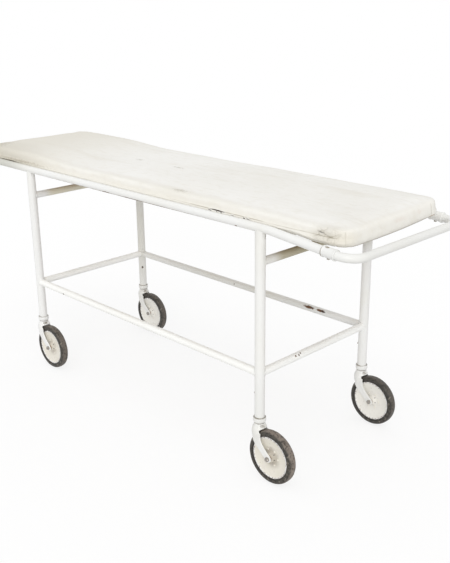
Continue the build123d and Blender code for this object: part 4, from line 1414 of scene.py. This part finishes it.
def white_to_camera(tree, lit, seen):
    """Number that has one value to the light and another to the camera, reflections and clear things."""
    path = tree.nodes.new("ShaderNodeLightPath")
    looked_at = path.outputs["Is Camera Ray"]
    for ray in ("Is Glossy Ray", "Is Transmission Ray"):
        either = tree.nodes.new("ShaderNodeMath")
        either.operation = "MAXIMUM"
        tree.links.new(looked_at, either.inputs[0])
        tree.links.new(path.outputs[ray], either.inputs[1])
        looked_at = either.outputs["Value"]
    level = tree.nodes.new("ShaderNodeMapRange")
    level.inputs["To Min"].default_value = lit
    level.inputs["To Max"].default_value = seen
    tree.links.new(looked_at, level.inputs["Value"])
    return level.outputs["Result"]


def direction(azimuth, elevation):
    """Way from the object to a camera or lamp, by the side where it stands and its height."""
    return Vector((sin(azimuth) * cos(elevation), -cos(azimuth) * cos(elevation), sin(elevation)))


def add_light(name, azimuth, elevation, spread, strength):
    """Broad even light from one side."""
    deselect_all()
    turn = direction(azimuth, elevation).to_track_quat("Z", "Y").to_euler()
    bpy.ops.object.light_add(type="SUN", rotation=turn)
    light = bpy.context.object
    light.name = name
    light.data.angle = spread
    light.data.energy = strength


class TROLLEY_OT_set_stage(Operator):
    """Set the camera, the pale floor and the soft light"""

    bl_idname = "trolley.set_stage"
    bl_label = "Set Stage"

    def execute(self, context):
        stage = context.scene.trolley_stage
        self.place_camera(context, stage)
        self.lay_floor(stage)
        self.light(context, stage)
        context.scene.view_settings.view_transform = "Standard"
        return {"FINISHED"}

    def place_camera(self, context, stage):
        """Camera at the photograph's place and angle."""
        back = direction(stage.azimuth, stage.elevation)
        right = Vector((0.0, 0.0, 1.0)).cross(back).normalized()
        up = back.cross(right)
        turned_right = right * cos(stage.roll) + up * sin(stage.roll)
        turned_up = up * cos(stage.roll) - right * sin(stage.roll)
        deselect_all()
        bpy.ops.object.camera_add()
        camera = context.object
        turn = Matrix((turned_right, turned_up, back)).transposed().to_4x4()
        camera.matrix_world = Matrix.Translation(stage.camera_place) @ turn
        camera.data.sensor_fit = "VERTICAL"
        camera.data.sensor_height = 36.0
        camera.data.lens = stage.lens
        camera.data.clip_end = stage.floor_size
        context.scene.camera = camera

    def lay_floor(self, stage):
        """Floor that is white to the camera and keeps a soft shadow."""
        deselect_all()
        height = cad_box[0].z - stage.floor_gap
        bpy.ops.mesh.primitive_plane_add(size=stage.floor_size, location=(0.0, 0.0, height))
        floor = bpy.context.object
        floor.name = "floor"
        material = bpy.data.materials.new("pale_floor")
        material.use_nodes = True
        tree = material.node_tree
        shader = tree.nodes["Principled BSDF"]
        shade = white_to_camera(tree, stage.floor_shade, stage.floor_seen)
        tree.links.new(shade, shader.inputs["Base Color"])
        shader.inputs["Roughness"].default_value = 1.0
        shader.inputs["Specular IOR Level"].default_value = 0.0
        shader.inputs["Emission Color"].default_value = (1.0, 1.0, 1.0, 1.0)
        lamps = stage.key * sin(stage.key_elevation) + stage.fill * sin(stage.fill_elevation)
        glow = white_to_camera(tree, 0.0, 1.0 - stage.floor_seen * (stage.sky + lamps / pi))
        tree.links.new(glow, shader.inputs["Emission Strength"])
        dress(floor, material)

    def light(self, context, stage):
        """Even light from all round, with broad lights from above and from the front."""
        world = bpy.data.worlds.new("studio")
        world.use_nodes = True
        background = world.node_tree.nodes["Background"]
        background.inputs["Color"].default_value = (1.0, 1.0, 1.0, 1.0)
        strength = white_to_camera(world.node_tree, stage.sky, 1.0)
        world.node_tree.links.new(strength, background.inputs["Strength"])
        context.scene.world = world
        add_light("light_above", stage.key_azimuth, stage.key_elevation, stage.spread, stage.key)
        add_light("light_in_front", stage.fill_azimuth, stage.fill_elevation, stage.spread, stage.fill)


class TROLLEY_PT_finish(Panel):
    """Sidebar panel of the trolley's finish"""

    bl_label = "Trolley"
    bl_idname = "TROLLEY_PT_finish"
    bl_space_type = "VIEW_3D"
    bl_region_type = "UI"
    bl_category = "Trolley"

    def draw(self, context):
        for step in STEPS:
            self.layout.operator(step.bl_idname)
        for key, group in SETTINGS.items():
            box = self.layout.box()
            box.label(text=group.__doc__)
            for name in group.__annotations__:
                box.prop(getattr(context.scene, key), name)


SETTINGS = {
    "trolley_pad": PadSettings,
    "trolley_paint": PaintSettings,
    "trolley_crimp": CrimpSettings,
    "trolley_weld": WeldSettings,
    "trolley_caster": CasterSettings,
    "trolley_stage": StageSettings,
}
STEPS = (
    TROLLEY_OT_paint_frame,
    TROLLEY_OT_fold_leg_tops,
    TROLLEY_OT_weld_joints,
    TROLLEY_OT_press_forks,
    TROLLEY_OT_turn_discs,
    TROLLEY_OT_mould_tyres,
    TROLLEY_OT_pad_top,
    TROLLEY_OT_set_stage,
)


def register():
    for group in (*SETTINGS.values(), *STEPS, TROLLEY_PT_finish):
        bpy.utils.register_class(group)
    for key, group in SETTINGS.items():
        setattr(bpy.types.Scene, key, PointerProperty(type=group))


def unregister():
    for key in SETTINGS:
        delattr(bpy.types.Scene, key)
    for group in (TROLLEY_PT_finish, *reversed(STEPS), *SETTINGS.values()):
        bpy.utils.unregister_class(group)


def main():
    register()
    bpy.ops.trolley.paint_frame()
    bpy.ops.trolley.fold_leg_tops()
    bpy.ops.trolley.weld_joints()
    bpy.ops.trolley.press_forks()
    bpy.ops.trolley.turn_discs()
    bpy.ops.trolley.mould_tyres()
    bpy.ops.trolley.pad_top()
    bpy.ops.trolley.set_stage()


if __name__ == "__main__":
    main()
